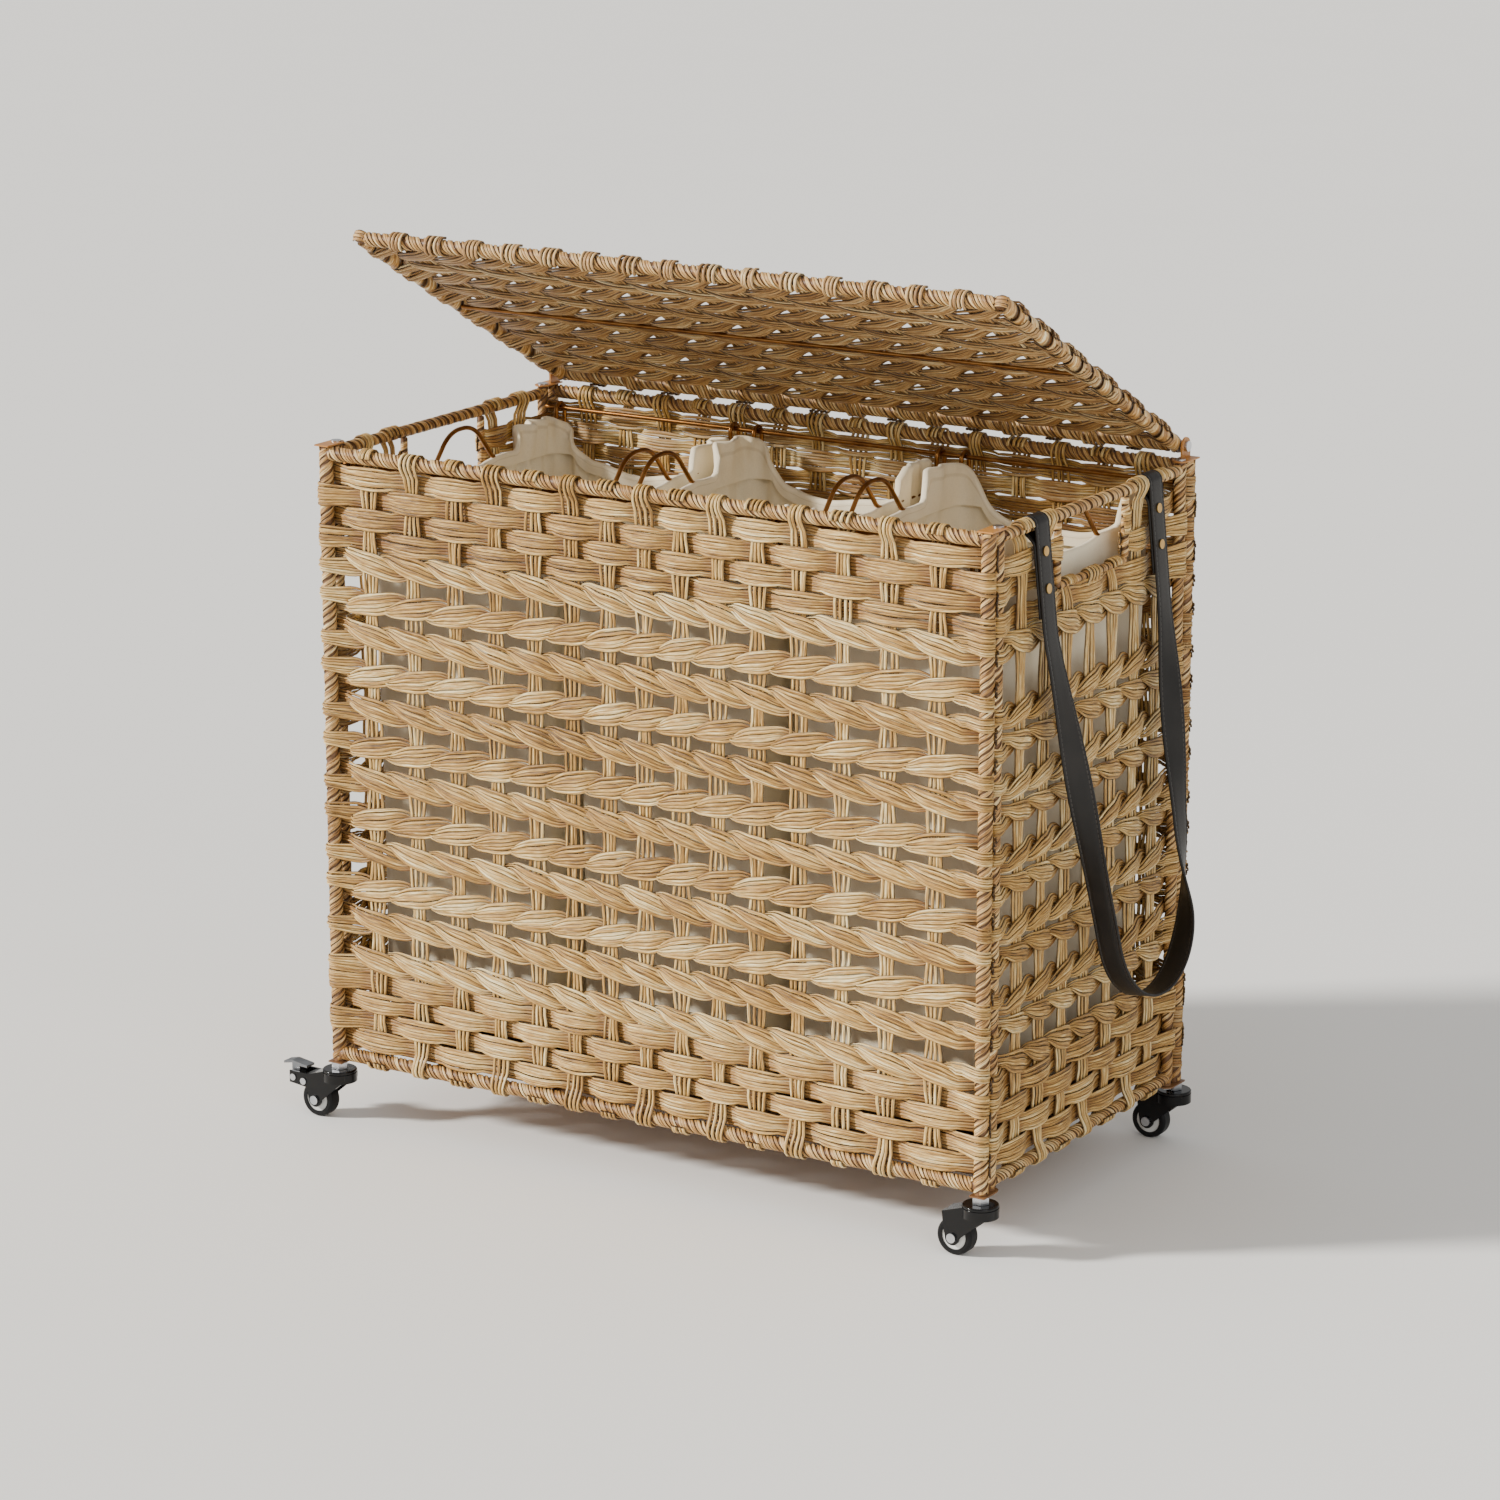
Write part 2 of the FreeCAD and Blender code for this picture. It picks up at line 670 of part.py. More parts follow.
def hinge_lug(outward):
    """A corner plate that turns up into a lug for the lid's bolt. outward is 1 on the right."""
    plate = corner_plate(False)
    lug = doc.addObject("PartDesign::Body", new_name("Lug"))
    half = size("lug_wide") / 2
    axis_y = -SETBACK
    axis_z = HINGE_Z - POST_TOP - SLIP
    edges = [
        Part.LineSegment(Vector(axis_y + half, axis_z, 0), Vector(axis_y + half, 0, 0)),
        Part.LineSegment(Vector(axis_y + half, 0, 0), Vector(axis_y - half, 0, 0)),
        Part.LineSegment(Vector(axis_y - half, 0, 0), Vector(axis_y - half, axis_z, 0)),
        Part.ArcOfCircle(Part.Circle(Vector(axis_y, axis_z, 0), Vector(0, 0, 1), half), 0, math.pi),
    ]
    inner = outward * (LID_SPAN / 2 + MAIN_TURNED + size("lug_gap") - HALF_X)
    low = min(inner, inner + outward * size("lug_thick"))
    pad(lug, sketch_on(lug, "YZ_Plane", edges, low), ".lug_thick")
    hole = circle_on(lug, "YZ_Plane", (axis_y, axis_z), ".bolt_wire + 2 * .slip", low)
    pocket(lug, hole, ".lug_thick", True)
    return joined("Bracket", [plate, lug])


def brackets():
    """Plates on the front corners, lugs on the back ones, plates under all four."""
    top = POST_TOP + SLIP
    fronts = []
    hinges = []
    bottoms = []
    for outward in (-1, 1):
        front = corner_plate(False)
        front.Placement = Placement(Vector(outward * HALF_X, -SIDE_Y, top), Rotation())
        fronts.append(front)
        hinge = hinge_lug(-outward)
        hinge.Placement = Placement(Vector(outward * HALF_X, SIDE_Y, top), Rotation(180, 0, 0))
        hinges.append(hinge)
        for to_back in (-1, 1):
            plate = corner_plate(True)
            low = POST_BOTTOM - SLIP - size("plate_thick")
            turn = Rotation(0 if to_back < 0 else 180, 0, 0)
            plate.Placement = Placement(Vector(outward * HALF_X, to_back * SIDE_Y, low), turn)
            bottoms.append(plate)
    piece(several("Fronts", fronts), "front_corner_plates")
    piece(several("Hinges", hinges), "hinge_brackets")
    piece(several("Bottoms", bottoms), "bottom_corner_plates")


def screws():
    """Round-headed screws through the plates into the side posts, above and below."""
    made = []
    depth = size("screw_long")
    wire = size("screw_wire") / 2
    head = size("screw_head") / 2
    plate = size("plate_thick")
    for x in (-HALF_X, HALF_X):
        for y in (-SIDE_Y, SIDE_Y):
            for up, face in ((1, POST_TOP + SLIP + plate), (-1, POST_BOTTOM - SLIP - plate)):
                away = Vector(0, 0, up)
                shank = Part.makeCylinder(wire, depth, Vector(x, y, face - up * depth), away)
                dome = Part.makeCylinder(head, plate, Vector(x, y, face), away)
                made.append(shank.fuse(dome).removeSplitter().Solids[0])
    feature_of(Part.makeCompound(made), "bracket_screws")


def hinge_bolts():
    """A bolt through each lug into the lid's rear corner."""
    made = []
    lug_out = LID_SPAN / 2 + MAIN_TURNED + size("lug_gap") + size("lug_thick")
    for side in (-1, 1):
        inward = Vector(-side, 0, 0)
        face = Vector(side * lug_out, HALF_Y, HINGE_Z)
        tall = size("bolt_head_tall")
        shank = Part.makeCylinder(size("bolt_wire") / 2, size("bolt_long"), face, inward)
        head = Part.makeCylinder(size("bolt_head") / 2, tall, face - inward * tall, inward)
        made.append(shank.fuse(head).removeSplitter().Solids[0])
    feature_of(Part.makeCompound(made), "hinge_bolts")


# ---- the lid ----
def lid():
    """A woven panel that turns about the bolts in its rear corners."""
    span = ".basket_wide - 2 * .lid_inset"
    bolt_hole = ".bolt_wire + 4 * .slip"
    beyond = ".main_tube"
    bore = round_bar("Bore", bolt_hole, f"{span} + 2 * {beyond}", (f"-{beyond}", "0", "0"), "x")
    plug = round_bar("Plug", bolt_hole, f"{span} - 2 * .bolt_long", (".bolt_long", "0", "0"), "x")
    bores = cut("Bores", bore, plug)
    sizes = (span, ".main_tube", "0", ".basket_deep", (WRAPPED_RADIUS, WRAPPED_RADIUS))
    panel_frame("lid_frame", LID, *sizes, bored=bores)
    panel_wrap("lid_wrap", LID, *sizes, bored=bores)
    spaces = gaps_along(LID_SPAN)
    pitch = LID_SPAN / spaces
    stakes = [stake(index * pitch, 0, DEEP, MAIN_WRAPPED, MAIN_WRAPPED) for index in range(1, spaces)]
    feature_of(Part.makeCompound(stakes), "lid_stakes", LID)
    rows = max(2, round(DEEP / size("lid_row_pitch")))
    row_pitch = DEEP / rows
    ends = [(0, MAIN_WRAPPED), (LID_SPAN, MAIN_WRAPPED)]
    weavers = []
    for index in range(1, rows):
        weavers += twined_row(pitch, ends, index, index * row_pitch)
    feature_of(Part.makeCompound(weavers), "lid_weavers", LID)
    rod_y = -(size("stake_thick") / 2 + size("lid_rod") / 2 + SLIP)
    rod_z = row_pitch * (rows // 2 + 0.5)
    reach = LID_SPAN - 2 * (MAIN_WRAPPED + SLIP)
    rod = Part.makeCylinder(
        size("lid_rod") / 2, reach, Vector((LID_SPAN - reach) / 2, rod_y, rod_z), Vector(1, 0, 0)
    )
    feature_of(rod, "lid_rod", LID)


# ---- rods, hangers and bags ----
ROD_Y = HALF_Y - size("rod_inset")
ROD_Z = RAIL_TOP - size("rod_drop")
HEM_Z = RAIL_TOP - size("hem_drop")
HANGER_X = HALF_X - size("hanger_end")
HANGER_HALF = (2 * HANGER_X - 2 * size("hanger_pair")) / 6
BAG_PITCH = 2 * HANGER_HALF + size("hanger_pair")
HOOK_OUT = ROD_Y + size("hook_wide") / 2
HOOK_IN = ROD_Y - size("hook_wide") / 2


def bag_rods():
    """Two rods just inside the front and the back rail, from side post to side post."""
    start = "-.basket_wide / 2 + .side_tube / 2 + .wrap_thick + .slip"
    length = ".basket_wide - .side_tube - 2 * .wrap_thick - 2 * .slip"
    up = ".rail_low + .panel_tall - .rod_drop"
    rods = [
        round_bar("Rod", ".rod_wire", length, (start, y, up), "x")
        for y in (".rod_inset - .basket_deep / 2", ".basket_deep / 2 - .rod_inset")
    ]
    piece(several("Rods", rods), "bag_rods")


def hanger(x):
    """A wire that hooks over both rods, runs through the hem and arches up to a grip between."""
    hook = size("hook_wide") / 2
    wire = size("rod_wire")
    crown = ROD_Z + wire + SLIP
    arch = size("arch_wide") / 2
    grip = HEM_Z + size("arch_tall")
    half = [
        (HOOK_OUT, crown - hook - size("hook_tail"), 0),
        (HOOK_OUT, crown, hook),
        (HOOK_IN, crown, hook),
        (HOOK_IN, HEM_Z, size("hanger_bend")),
        (arch, HEM_Z, size("arch_bend")),
        (arch - size("arch_slope"), grip, size("grip_bend")),
    ]
    places = [Vector(x, -y, z) for y, z, _ in half] + [Vector(x, y, z) for y, z, _ in half[::-1]]
    radii = [radius for _, _, radius in half[1:] + half[:0:-1]]
    return wire_solid(rounded_path(places, radii), wire)


def liner(middle):
    """An open cloth bag, with a collar outside each hanger that stands for the sewn hem."""
    wall = size("liner_wall")
    wire = size("rod_wire") / 2
    half_x = HANGER_HALF + wire + size("liner_gap") + wall
    half_y = HOOK_IN - wire - size("liner_gap")
    low = RAIL_LOW + size("bar_tube") / 2 + size("board_thick") + size("liner_above_base")
    high = HEM_Z - wire - size("liner_gap")
    outer = Part.makeBox(2 * half_x, 2 * half_y, high - low, Vector(middle - half_x, -half_y, low))
    hollow = Part.makeBox(
        2 * (half_x - wall),
        2 * (half_y - wall),
        high - low,
        Vector(middle - half_x + wall, -half_y + wall, low + wall),
    )
    collar_y = half_y - size("liner_short")
    collars = [
        Part.makeBox(wall, 2 * collar_y, size("collar_tall") + 1, Vector(x, -collar_y, high - 1))
        for x in (middle - half_x, middle + half_x - wall)
    ]
    return outer.cut(hollow).fuse(collars).removeSplitter().Solids[0]


def bags():
    """Three bags, each with a hanger along its left and its right side."""
    for index, name in enumerate(("left", "middle", "right")):
        middle = (index - 1) * BAG_PITCH
        feature_of(liner(middle), f"liner_{name}")
        wires = [hanger(middle - HANGER_HALF), hanger(middle + HANGER_HALF)]
        feature_of(Part.makeCompound(wires), f"hangers_{name}")


# ---- the strap ----
SLANT = math.radians(size("strap_slant"))
OUTWARD = Vector(math.cos(SLANT), 0, math.sin(SLANT))
DOWNWARD = Vector(math.sin(SLANT), 0, -math.cos(SLANT))
LOOP_IN = SIDE_WRAPPED + size("strap_gap")
SIDE_PITCH = SIDE_SPAN / gaps_along(SIDE_SPAN)
STRAP_Y = SIDE_SPAN / 2 - 1.5 * SIDE_PITCH
STRAP_WIDE = SIDE_PITCH - size("stake_wide") - 2 * size("strap_side_gap")


def strap_point(away, across, down):
    """A point of the strap's own plane: away from the rail's axis, along it and down."""
    return Vector(HALF_X, across, RAIL_TOP) + OUTWARD * away + DOWNWARD * down


def strap_section(away, across, down, twist, turn):
    """The strap's rectangle. twist swings its width from along the rail to outwards; turn swings the
    path from downwards to along the rail."""
    middle = strap_point(away, across, down)
    along = Vector(0, 1, 0)
    level = along * math.cos(turn) - DOWNWARD * math.sin(turn)
    width = (level * math.cos(twist) + OUTWARD * math.sin(twist)) * (STRAP_WIDE / 2)
    depth = (OUTWARD * math.cos(twist) - level * math.sin(twist)) * (size("strap_thick") / 2)
    ways = (width + depth, depth - width, -width - depth, width - depth)
    corners = [middle + way for way in ways]
    return Part.makePolygon(corners + corners[:1])


def eased(share):
    """From 0 to 1, slow at both ends."""
    return (1 - math.cos(math.pi * min(max(share, 0), 1))) / 2


def front_twist(down):
    """How far the front leg has turned: a quarter turn, done well above the U."""
    flat = size("strap_tail") + size("strap_flat")
    return eased((down - flat) / (0.55 * size("strap_low"))) * math.pi / 2


def back_twist(down):
    """How far the back leg has turned: forwards at first, and then back and on to the quarter turn
    in the U."""
    flat = size("strap_tail") + size("strap_flat")
    low = size("strap_low")
    forward = math.sin(math.pi * eased((down - flat) / (0.5 * low)))
    return eased((down - 0.68 * low) / (0.3 * low)) * math.pi / 2 - math.radians(34) * forward


def strap():
    """A belt with both ends looped over the right rail. It hangs as a long U. Its back leg hangs
    plumb and its front leg slants towards it. The belt faces outwards at the rail, and twists on
    the way down, so that it faces along the basket at the bottom."""
    thick = size("strap_thick")
    away = LOOP_IN + thick / 2
    flat = size("strap_tail") + size("strap_flat")
    bend = size("strap_bend")
    middle = STRAP_Y - bend
    centre = size("strap_low") - bend
    reach = math.hypot(middle + STRAP_Y, centre - flat)
    lean = math.atan2(middle + STRAP_Y, centre - flat) - math.asin(bend / reach)
    leg = math.sqrt(reach**2 - bend**2)
    sections = [strap_section(away, -STRAP_Y, down, 0, 0) for down in (0, flat)]
    steps = 12
    for step in range(1, steps + 1):
        run = leg * step / steps
        down = flat + run * math.cos(lean)
        across = run * math.sin(lean) - STRAP_Y
        sections.append(strap_section(away, across, down, front_twist(down), lean))
    for step in range(1, steps):
        turn = lean + (math.pi - lean) * step / steps
        across = middle - bend * math.cos(turn)
        down = centre + bend * math.sin(turn)
        twist = front_twist(down) if turn < math.pi / 2 else back_twist(down)
        sections.append(strap_section(away, across, down, twist, turn))
    for step in range(steps + 1):
        down = centre + (flat - centre) * step / steps
        sections.append(strap_section(away, STRAP_Y, down, back_twist(down), math.pi))
    sections.append(strap_section(away, STRAP_Y, 0, 0, math.pi))
    belt = Part.makeLoft(sections, True, True)
    turns = []
    for across in (-STRAP_Y, STRAP_Y):
        start = Vector(HALF_X, across - STRAP_WIDE / 2, RAIL_TOP)
        ring = Part.makeCylinder(LOOP_IN + thick, STRAP_WIDE, start, Vector(0, 1, 0))
        turns.append(ring.cut(Part.makeCylinder(LOOP_IN, STRAP_WIDE, start, Vector(0, 1, 0))))
        tail = Part.makeBox(thick, STRAP_WIDE, size("strap_tail") - LOOP_IN)
        tail.Placement = Placement(
            strap_point(LOOP_IN - thick, across - STRAP_WIDE / 2, size("strap_tail")),
            Rotation(OUTWARD, Vector(0, 1, 0), DOWNWARD * -1, "ZXY"),
        )
        turns.append(tail)
    shape = belt.fuse(turns).removeSplitter().Solids[0]
    return shape.cut([rivet_hole(across, down) for across, down in rivet_places()])


def rivet_places():
    first = size("rivet_first")
    downs = (first, first + size("rivet_pitch"))
    return [(across, down) for across in (-STRAP_Y, STRAP_Y) for down in downs]


def rivet_hole(across, down):
    """A bar that bores through both layers of the strap."""
    reach = 4 * size("strap_thick")
    start = strap_point(LOOP_IN - reach / 2, across, down)
    return Part.makeCylinder(size("rivet_shank") / 2 + SLIP, reach, start, OUTWARD)


def strap_rivets():
    """Round brass heads outside and inside, on shanks through both layers."""
    thick = size("strap_thick")
    tall = size("rivet_head_tall")
    radius = size("rivet_head") / 2
    made = []
    for across, down in rivet_places():
        inner = strap_point(LOOP_IN - thick - tall - SLIP, across, down)
        outer = strap_point(LOOP_IN + thick + SLIP, across, down)
        shank = Part.makeCylinder(size("rivet_shank") / 2, (outer - inner).Length, inner, OUTWARD)
        heads = [Part.makeCylinder(radius, tall, place, OUTWARD) for place in (inner, outer)]
        made.append(shank.fuse(heads).removeSplitter().Solids[0])
    feature_of(Part.makeCompound(made), "strap_rivets")


# ---- the casters ----
AXLE_Z = size("wheel_size") / 2
HEAD_TOP = POST_BOTTOM - SLIP - size("plate_thick") - size("stem_shown")
FORK_WIDE = size("tyre_wide") + 2 * size("fork_gap") + 2 * size("fork_plate")
SLOT_TOP = size("wheel_size") + size("crown_room")
CORNERS = {"fl": (-1, -1), "fr": (1, -1), "bl": (-1, 1), "br": (1, 1)}
BRAKE_REACH = (size("wheel_size") + size("rivet_rod")) / 2 + size("brake_gap")
BRAKE_ANGLE = math.radians(size("brake_angle"))
SPRING_X = -size("trail") - BRAKE_REACH * math.cos(BRAKE_ANGLE)
SPRING_Z = AXLE_Z + BRAKE_REACH * math.sin(BRAKE_ANGLE)
PEDAL_X = SPRING_X - size("pedal_back")
PEDAL_Z = SPRING_Z + size("pedal_up")
BRAKE_RIVETS = ((PEDAL_X, PEDAL_Z), (SPRING_X, SPRING_Z))


def stems():
    """The threaded stem of each caster, riveted over under the fork, and the nut that locks it."""
    shanks = []
    nuts = []
    foot_tall = size("stem_foot_tall")
    flange = SLOT_TOP - size("turning_gap") - foot_tall
    top = POST_BOTTOM + size("stem_in_post")
    nut_low = HEAD_TOP + size("turning_gap")
    nut_tall = POST_BOTTOM - size("plate_thick") - 2 * SLIP - nut_low
    corner = size("nut_flats") / math.sqrt(3)
    for side, depth in CORNERS.values():
        place = Vector(side * HALF_X, depth * HALF_Y, 0)
        up = Vector(0, 0, 1)
        shank = Part.makeCylinder(size("stem_wire") / 2, top - flange, place + up * flange)
        foot = Part.makeCylinder(size("stem_foot") / 2, foot_tall, place + up * flange)
        shanks.append(shank.fuse(foot).removeSplitter().Solids[0])
        ring = [
            place + Vector(corner * math.cos(turn), corner * math.sin(turn), nut_low)
            for turn in (math.pi * index / 3 for index in range(7))
        ]
        nut = Part.Face(Part.makePolygon(ring)).extrude(up * nut_tall)
        bore = Part.makeCylinder(size("stem_wire") / 2 + SLIP, nut_tall, place + up * nut_low)
        nuts.append(nut.cut(bore))
    feature_of(Part.makeCompound(shanks), "caster_stems")
    feature_of(Part.makeCompound(nuts), "stem_nuts")


def fork(label, place, braked):
    """A pressed steel fork that turns about the stem at its own origin and holds the wheel behind."""
    body = doc.addObject("PartDesign::Body", new_name("Fork"))
    trail = size("trail")
    foot = size("fork_foot") / 2
    head = size("head_size") / 2 - size("cap_tall")
    crown = HEAD_TOP - size("cap_tall")
    skirt = crown - size("crown_deep")
    behind = -trail - foot
    tail = [(behind - 3, skirt - 1), (behind - 2, AXLE_Z + 11)]
    if braked:
        end = PEDAL_X - size("rivet_rod")
        low = PEDAL_Z - size("pedal_arm") / 2 - 1
        tail = [(behind, skirt), (end, skirt), (end, low), (behind - 2.5, low - 2)]
    corners = [(head, skirt), (head, crown), (-head, crown)] + tail
    corners += [(behind, AXLE_Z), (-trail + foot, AXLE_Z)]
    edges = outline(corners)
    edges[-2] = Part.ArcOfCircle(
        Part.Circle(Vector(-trail, AXLE_Z, 0), Vector(0, 0, 1), foot), math.pi, 2 * math.pi
    )
    wide = ".tyre_wide + 2 * .fork_gap + 2 * .fork_plate"
    slot = size("tyre_wide") / 2 + size("fork_gap")
    pad(body, sketch_on(body, "XZ_Plane", edges, -FORK_WIDE / 2), wide)
    groove = size("head_groove")
    neck = circle_on(body, "XY_Plane", (0, 0), ".head_size - 2 * .head_groove", SLOT_TOP)
    pad(body, neck, f"{HEAD_TOP - SLOT_TOP}")
    plate = circle_on(body, "XY_Plane", (0, 0), ".head_size", SLOT_TOP)
    pad(body, plate, f"{crown - SLOT_TOP}")
    lip = circle_on(body, "XY_Plane", (0, 0), ".head_size", crown + groove)
    cap = pad(body, lip, f"{HEAD_TOP - crown - groove}")
    round_rims(body, cap, size("head_size"), HEAD_TOP - SLIP, ".head_round")
    reach = size("rivet_rod") + foot - PEDAL_X
    room = [(-reach, -slot), (reach, -slot), (reach, slot), (-reach, slot)]
    pocket(body, sketch_on(body, "XY_Plane", outline(room)), f"{SLOT_TOP}", True)
    if braked:
        mouth = behind - 2.5
        well = [(-reach, -slot), (mouth, -slot), (mouth, slot), (-reach, slot)]
        pocket(body, sketch_on(body, "XY_Plane", outline(well)), f"{HEAD_TOP}", True)
    stem = circle_on(body, "XY_Plane", (0, 0), ".stem_wire + 4 * .slip")
    pocket(body, stem, f"{HEAD_TOP}", True)
    side = -FORK_WIDE / 2
    axle = circle_on(body, "XZ_Plane", (-trail, AXLE_Z), ".axle_wire + 2 * .slip", side)
    pocket(body, axle, wide, True)
    if braked:
        for rivet in BRAKE_RIVETS:
            hole = circle_on(body, "XZ_Plane", rivet, ".rivet_rod + 2 * .slip", side)
            pocket(body, hole, wide, True)
    return piece(body, label, place)


def brake_pedal(label, place):
    """A tread with an arm that turns on the outer rivet between the fork's cheeks."""
    body = doc.addObject("PartDesign::Body", new_name("Pedal"))
    x, z = PEDAL_X, PEDAL_Z
    arm = size("pedal_arm") / 2
    edges = outline(
        [
            (x - 13, z + 11.5),
            (x - arm, z + 13.5),
            (x + 12, z + 11),
            (x + 12, z + 9),
            (x + arm, z + 9.5),
            (x + arm, z),
            (x - arm, z),
            (x - arm, z + 11.3),
            (x - 13, z + 9.5),
        ]
    )
    round_end = Part.Circle(Vector(x, z, 0), Vector(0, 0, 1), arm)
    edges[5] = Part.ArcOfCircle(round_end, math.pi, 2 * math.pi)
    side = -size("pedal_wide") / 2
    pad(body, sketch_on(body, "XZ_Plane", edges, side), ".pedal_wide")
    hole = circle_on(body, "XZ_Plane", (x, z), ".rivet_rod + 4 * .slip", side)
    pocket(body, hole, ".pedal_wide", True)
    return piece(body, label, place)


def headed_bar(x, z, wire, head, thick):
    """A bar across the fork at a place of its side view, with a head on each end."""
    long = FORK_WIDE + 2 * SLIP
    across = Vector(0, 1, 0)
    bar = Part.makeCylinder(wire / 2, long, Vector(x, -long / 2, z), across)
    heads = [
        Part.makeCylinder(head / 2, thick, Vector(x, y, z), across) for y in (-long / 2 - thick, long / 2)
    ]
    return bar.fuse(heads).removeSplitter().Solids[0]


def wheel(name, place):
    """A tyre on a hub, both turned about the axle."""
    trail = size("trail")
    hub = doc.addObject("PartDesign::Body", new_name("Hub"))
    start = -size("hub_wide") / 2
    pad(hub, circle_on(hub, "XZ_Plane", (-trail, AXLE_Z), ".hub_size", start), ".hub_wide")
    bore = circle_on(hub, "XZ_Plane", (-trail, AXLE_Z), ".axle_wire + 4 * .slip", start)
    pocket(hub, bore, ".hub_wide", True)
    piece(hub, f"hub_{name}", place)
    tyre = doc.addObject("PartDesign::Body", new_name("Tyre"))
    start = -size("tyre_wide") / 2
    pad(tyre, circle_on(tyre, "XZ_Plane", (-trail, AXLE_Z), ".wheel_size", start), ".tyre_wide")
    seat = circle_on(tyre, "XZ_Plane", (-trail, AXLE_Z), ".hub_size", start)
    ring = pocket(tyre, seat, ".tyre_wide", True)
    round_rims(tyre, ring, size("wheel_size"), -SLIP, ".tyre_wide / 5")
    piece(tyre, f"tyre_{name}", place)


def casters():
    """Four casters that trail to the left; the two on the left have brakes."""
    for name, (side, depth) in CORNERS.items():
        place = Placement(Vector(side * HALF_X, depth * HALF_Y, 0), Rotation())
        braked = side < 0
        fork(f"fork_{name}", place, braked)
        axle_head = (size("axle_head"), size("axle_head_tall"))
        rivet_head = (size("rod_head"), size("rod_head_tall"))
        bars = [headed_bar(-size("trail"), AXLE_Z, size("axle_wire"), *axle_head)]
        if braked:
            bars += [headed_bar(x, z, size("rivet_rod"), *rivet_head) for x, z in BRAKE_RIVETS]
            brake_pedal(f"brake_pedal_{name}", place)
        feature_of(Part.makeCompound(bars), f"axle_{name}", place)
        wheel(name, place)


long_panel("front", FRONT)
long_panel("back", BACK)
side_panel("left", LEFT)
side_panel("right", RIGHT)
base()
brackets()
screws()
hinge_bolts()
lid()
bag_rods()
bags()
feature_of(strap(), "strap")
strap_rivets()
stems()
casters()

doc.recompute()
for item in doc.Objects:
    if {"Invalid", "Error"} & set(item.State):
        raise RuntimeError(f"{item.Name} ({item.Label}) failed: {item.State}")
for item in PIECES:
    if item.Shape.isNull() or not item.Shape.isValid():
        raise RuntimeError(f"{item.Label} has no valid shape")

os.makedirs("parts", exist_ok=True)
for item in PIECES:
    item.Shape.exportStep(f"parts/{item.Label}.step")
print(len(PIECES), "pieces")
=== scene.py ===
# %% [markdown]
# # A wicker laundry sorter on wheels
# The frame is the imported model: tubes, wires, plates, casters and joints. Everything here is laid
# over it, in metres, in the same frame. The cane is the main work. It is built strand by strand,
# because a bundle of thin strands that bulges over a stake and pinches behind it can't be had from
# a bump on a flat band.

# %% The frame
import json
import math

import bmesh
import bpy
import numpy as np
from mathutils import Matrix, Vector


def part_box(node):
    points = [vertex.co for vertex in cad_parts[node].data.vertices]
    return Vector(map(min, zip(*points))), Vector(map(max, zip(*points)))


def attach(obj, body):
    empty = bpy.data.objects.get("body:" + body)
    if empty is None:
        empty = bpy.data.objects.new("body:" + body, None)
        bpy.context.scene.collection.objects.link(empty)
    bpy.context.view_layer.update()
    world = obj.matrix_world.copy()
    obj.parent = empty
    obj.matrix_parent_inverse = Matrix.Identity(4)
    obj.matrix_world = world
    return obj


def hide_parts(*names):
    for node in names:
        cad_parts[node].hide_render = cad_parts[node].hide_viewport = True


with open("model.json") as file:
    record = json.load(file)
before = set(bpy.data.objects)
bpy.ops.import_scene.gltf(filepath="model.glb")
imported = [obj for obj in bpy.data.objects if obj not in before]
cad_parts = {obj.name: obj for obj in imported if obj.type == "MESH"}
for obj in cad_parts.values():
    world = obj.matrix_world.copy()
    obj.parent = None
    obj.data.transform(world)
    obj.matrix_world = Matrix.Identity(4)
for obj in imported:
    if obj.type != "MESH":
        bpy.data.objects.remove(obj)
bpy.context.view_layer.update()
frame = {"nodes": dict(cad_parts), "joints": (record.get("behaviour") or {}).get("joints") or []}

MM = 0.001

# %% [markdown]
# ## Finishes as expressions
# A finish is a small calculation on noise, stripes and edges. Wrapping a socket in a class with the
# usual operators lets the calculation read as one, and each operator adds its Math node.


# %% Shader maths
class Value:
    """What a socket gives. An expression on values adds the nodes that work it out."""

    def __init__(self, recipe, socket):
        self.recipe = recipe
        self.socket = socket

    def maths(self, operation, *values):
        inputs = dict(enumerate(values))
        return self.recipe.node("ShaderNodeMath", {"operation": operation}, inputs)

    def __add__(self, other):
        return self.maths("ADD", self, other)

    def __sub__(self, other):
        return self.maths("SUBTRACT", self, other)

    def __rsub__(self, other):
        return self.maths("SUBTRACT", other, self)

    def __mul__(self, other):
        return self.maths("MULTIPLY", self, other)

    def __pow__(self, other):
        return self.maths("POWER", self, other)

    __radd__ = __add__
    __rmul__ = __mul__

    def absolute(self):
        return self.maths("ABSOLUTE", self)

    def wave(self):
        """The cosine of this value, without its sign."""
        return self.maths("COSINE", self).absolute()

    def step(self, low, high):
        """0 below low, 1 above high, and a smooth rise between."""
        settings = {"interpolation_type": "SMOOTHSTEP"}
        return self.recipe.node("ShaderNodeMapRange", settings, {0: self, 1: low, 2: high})


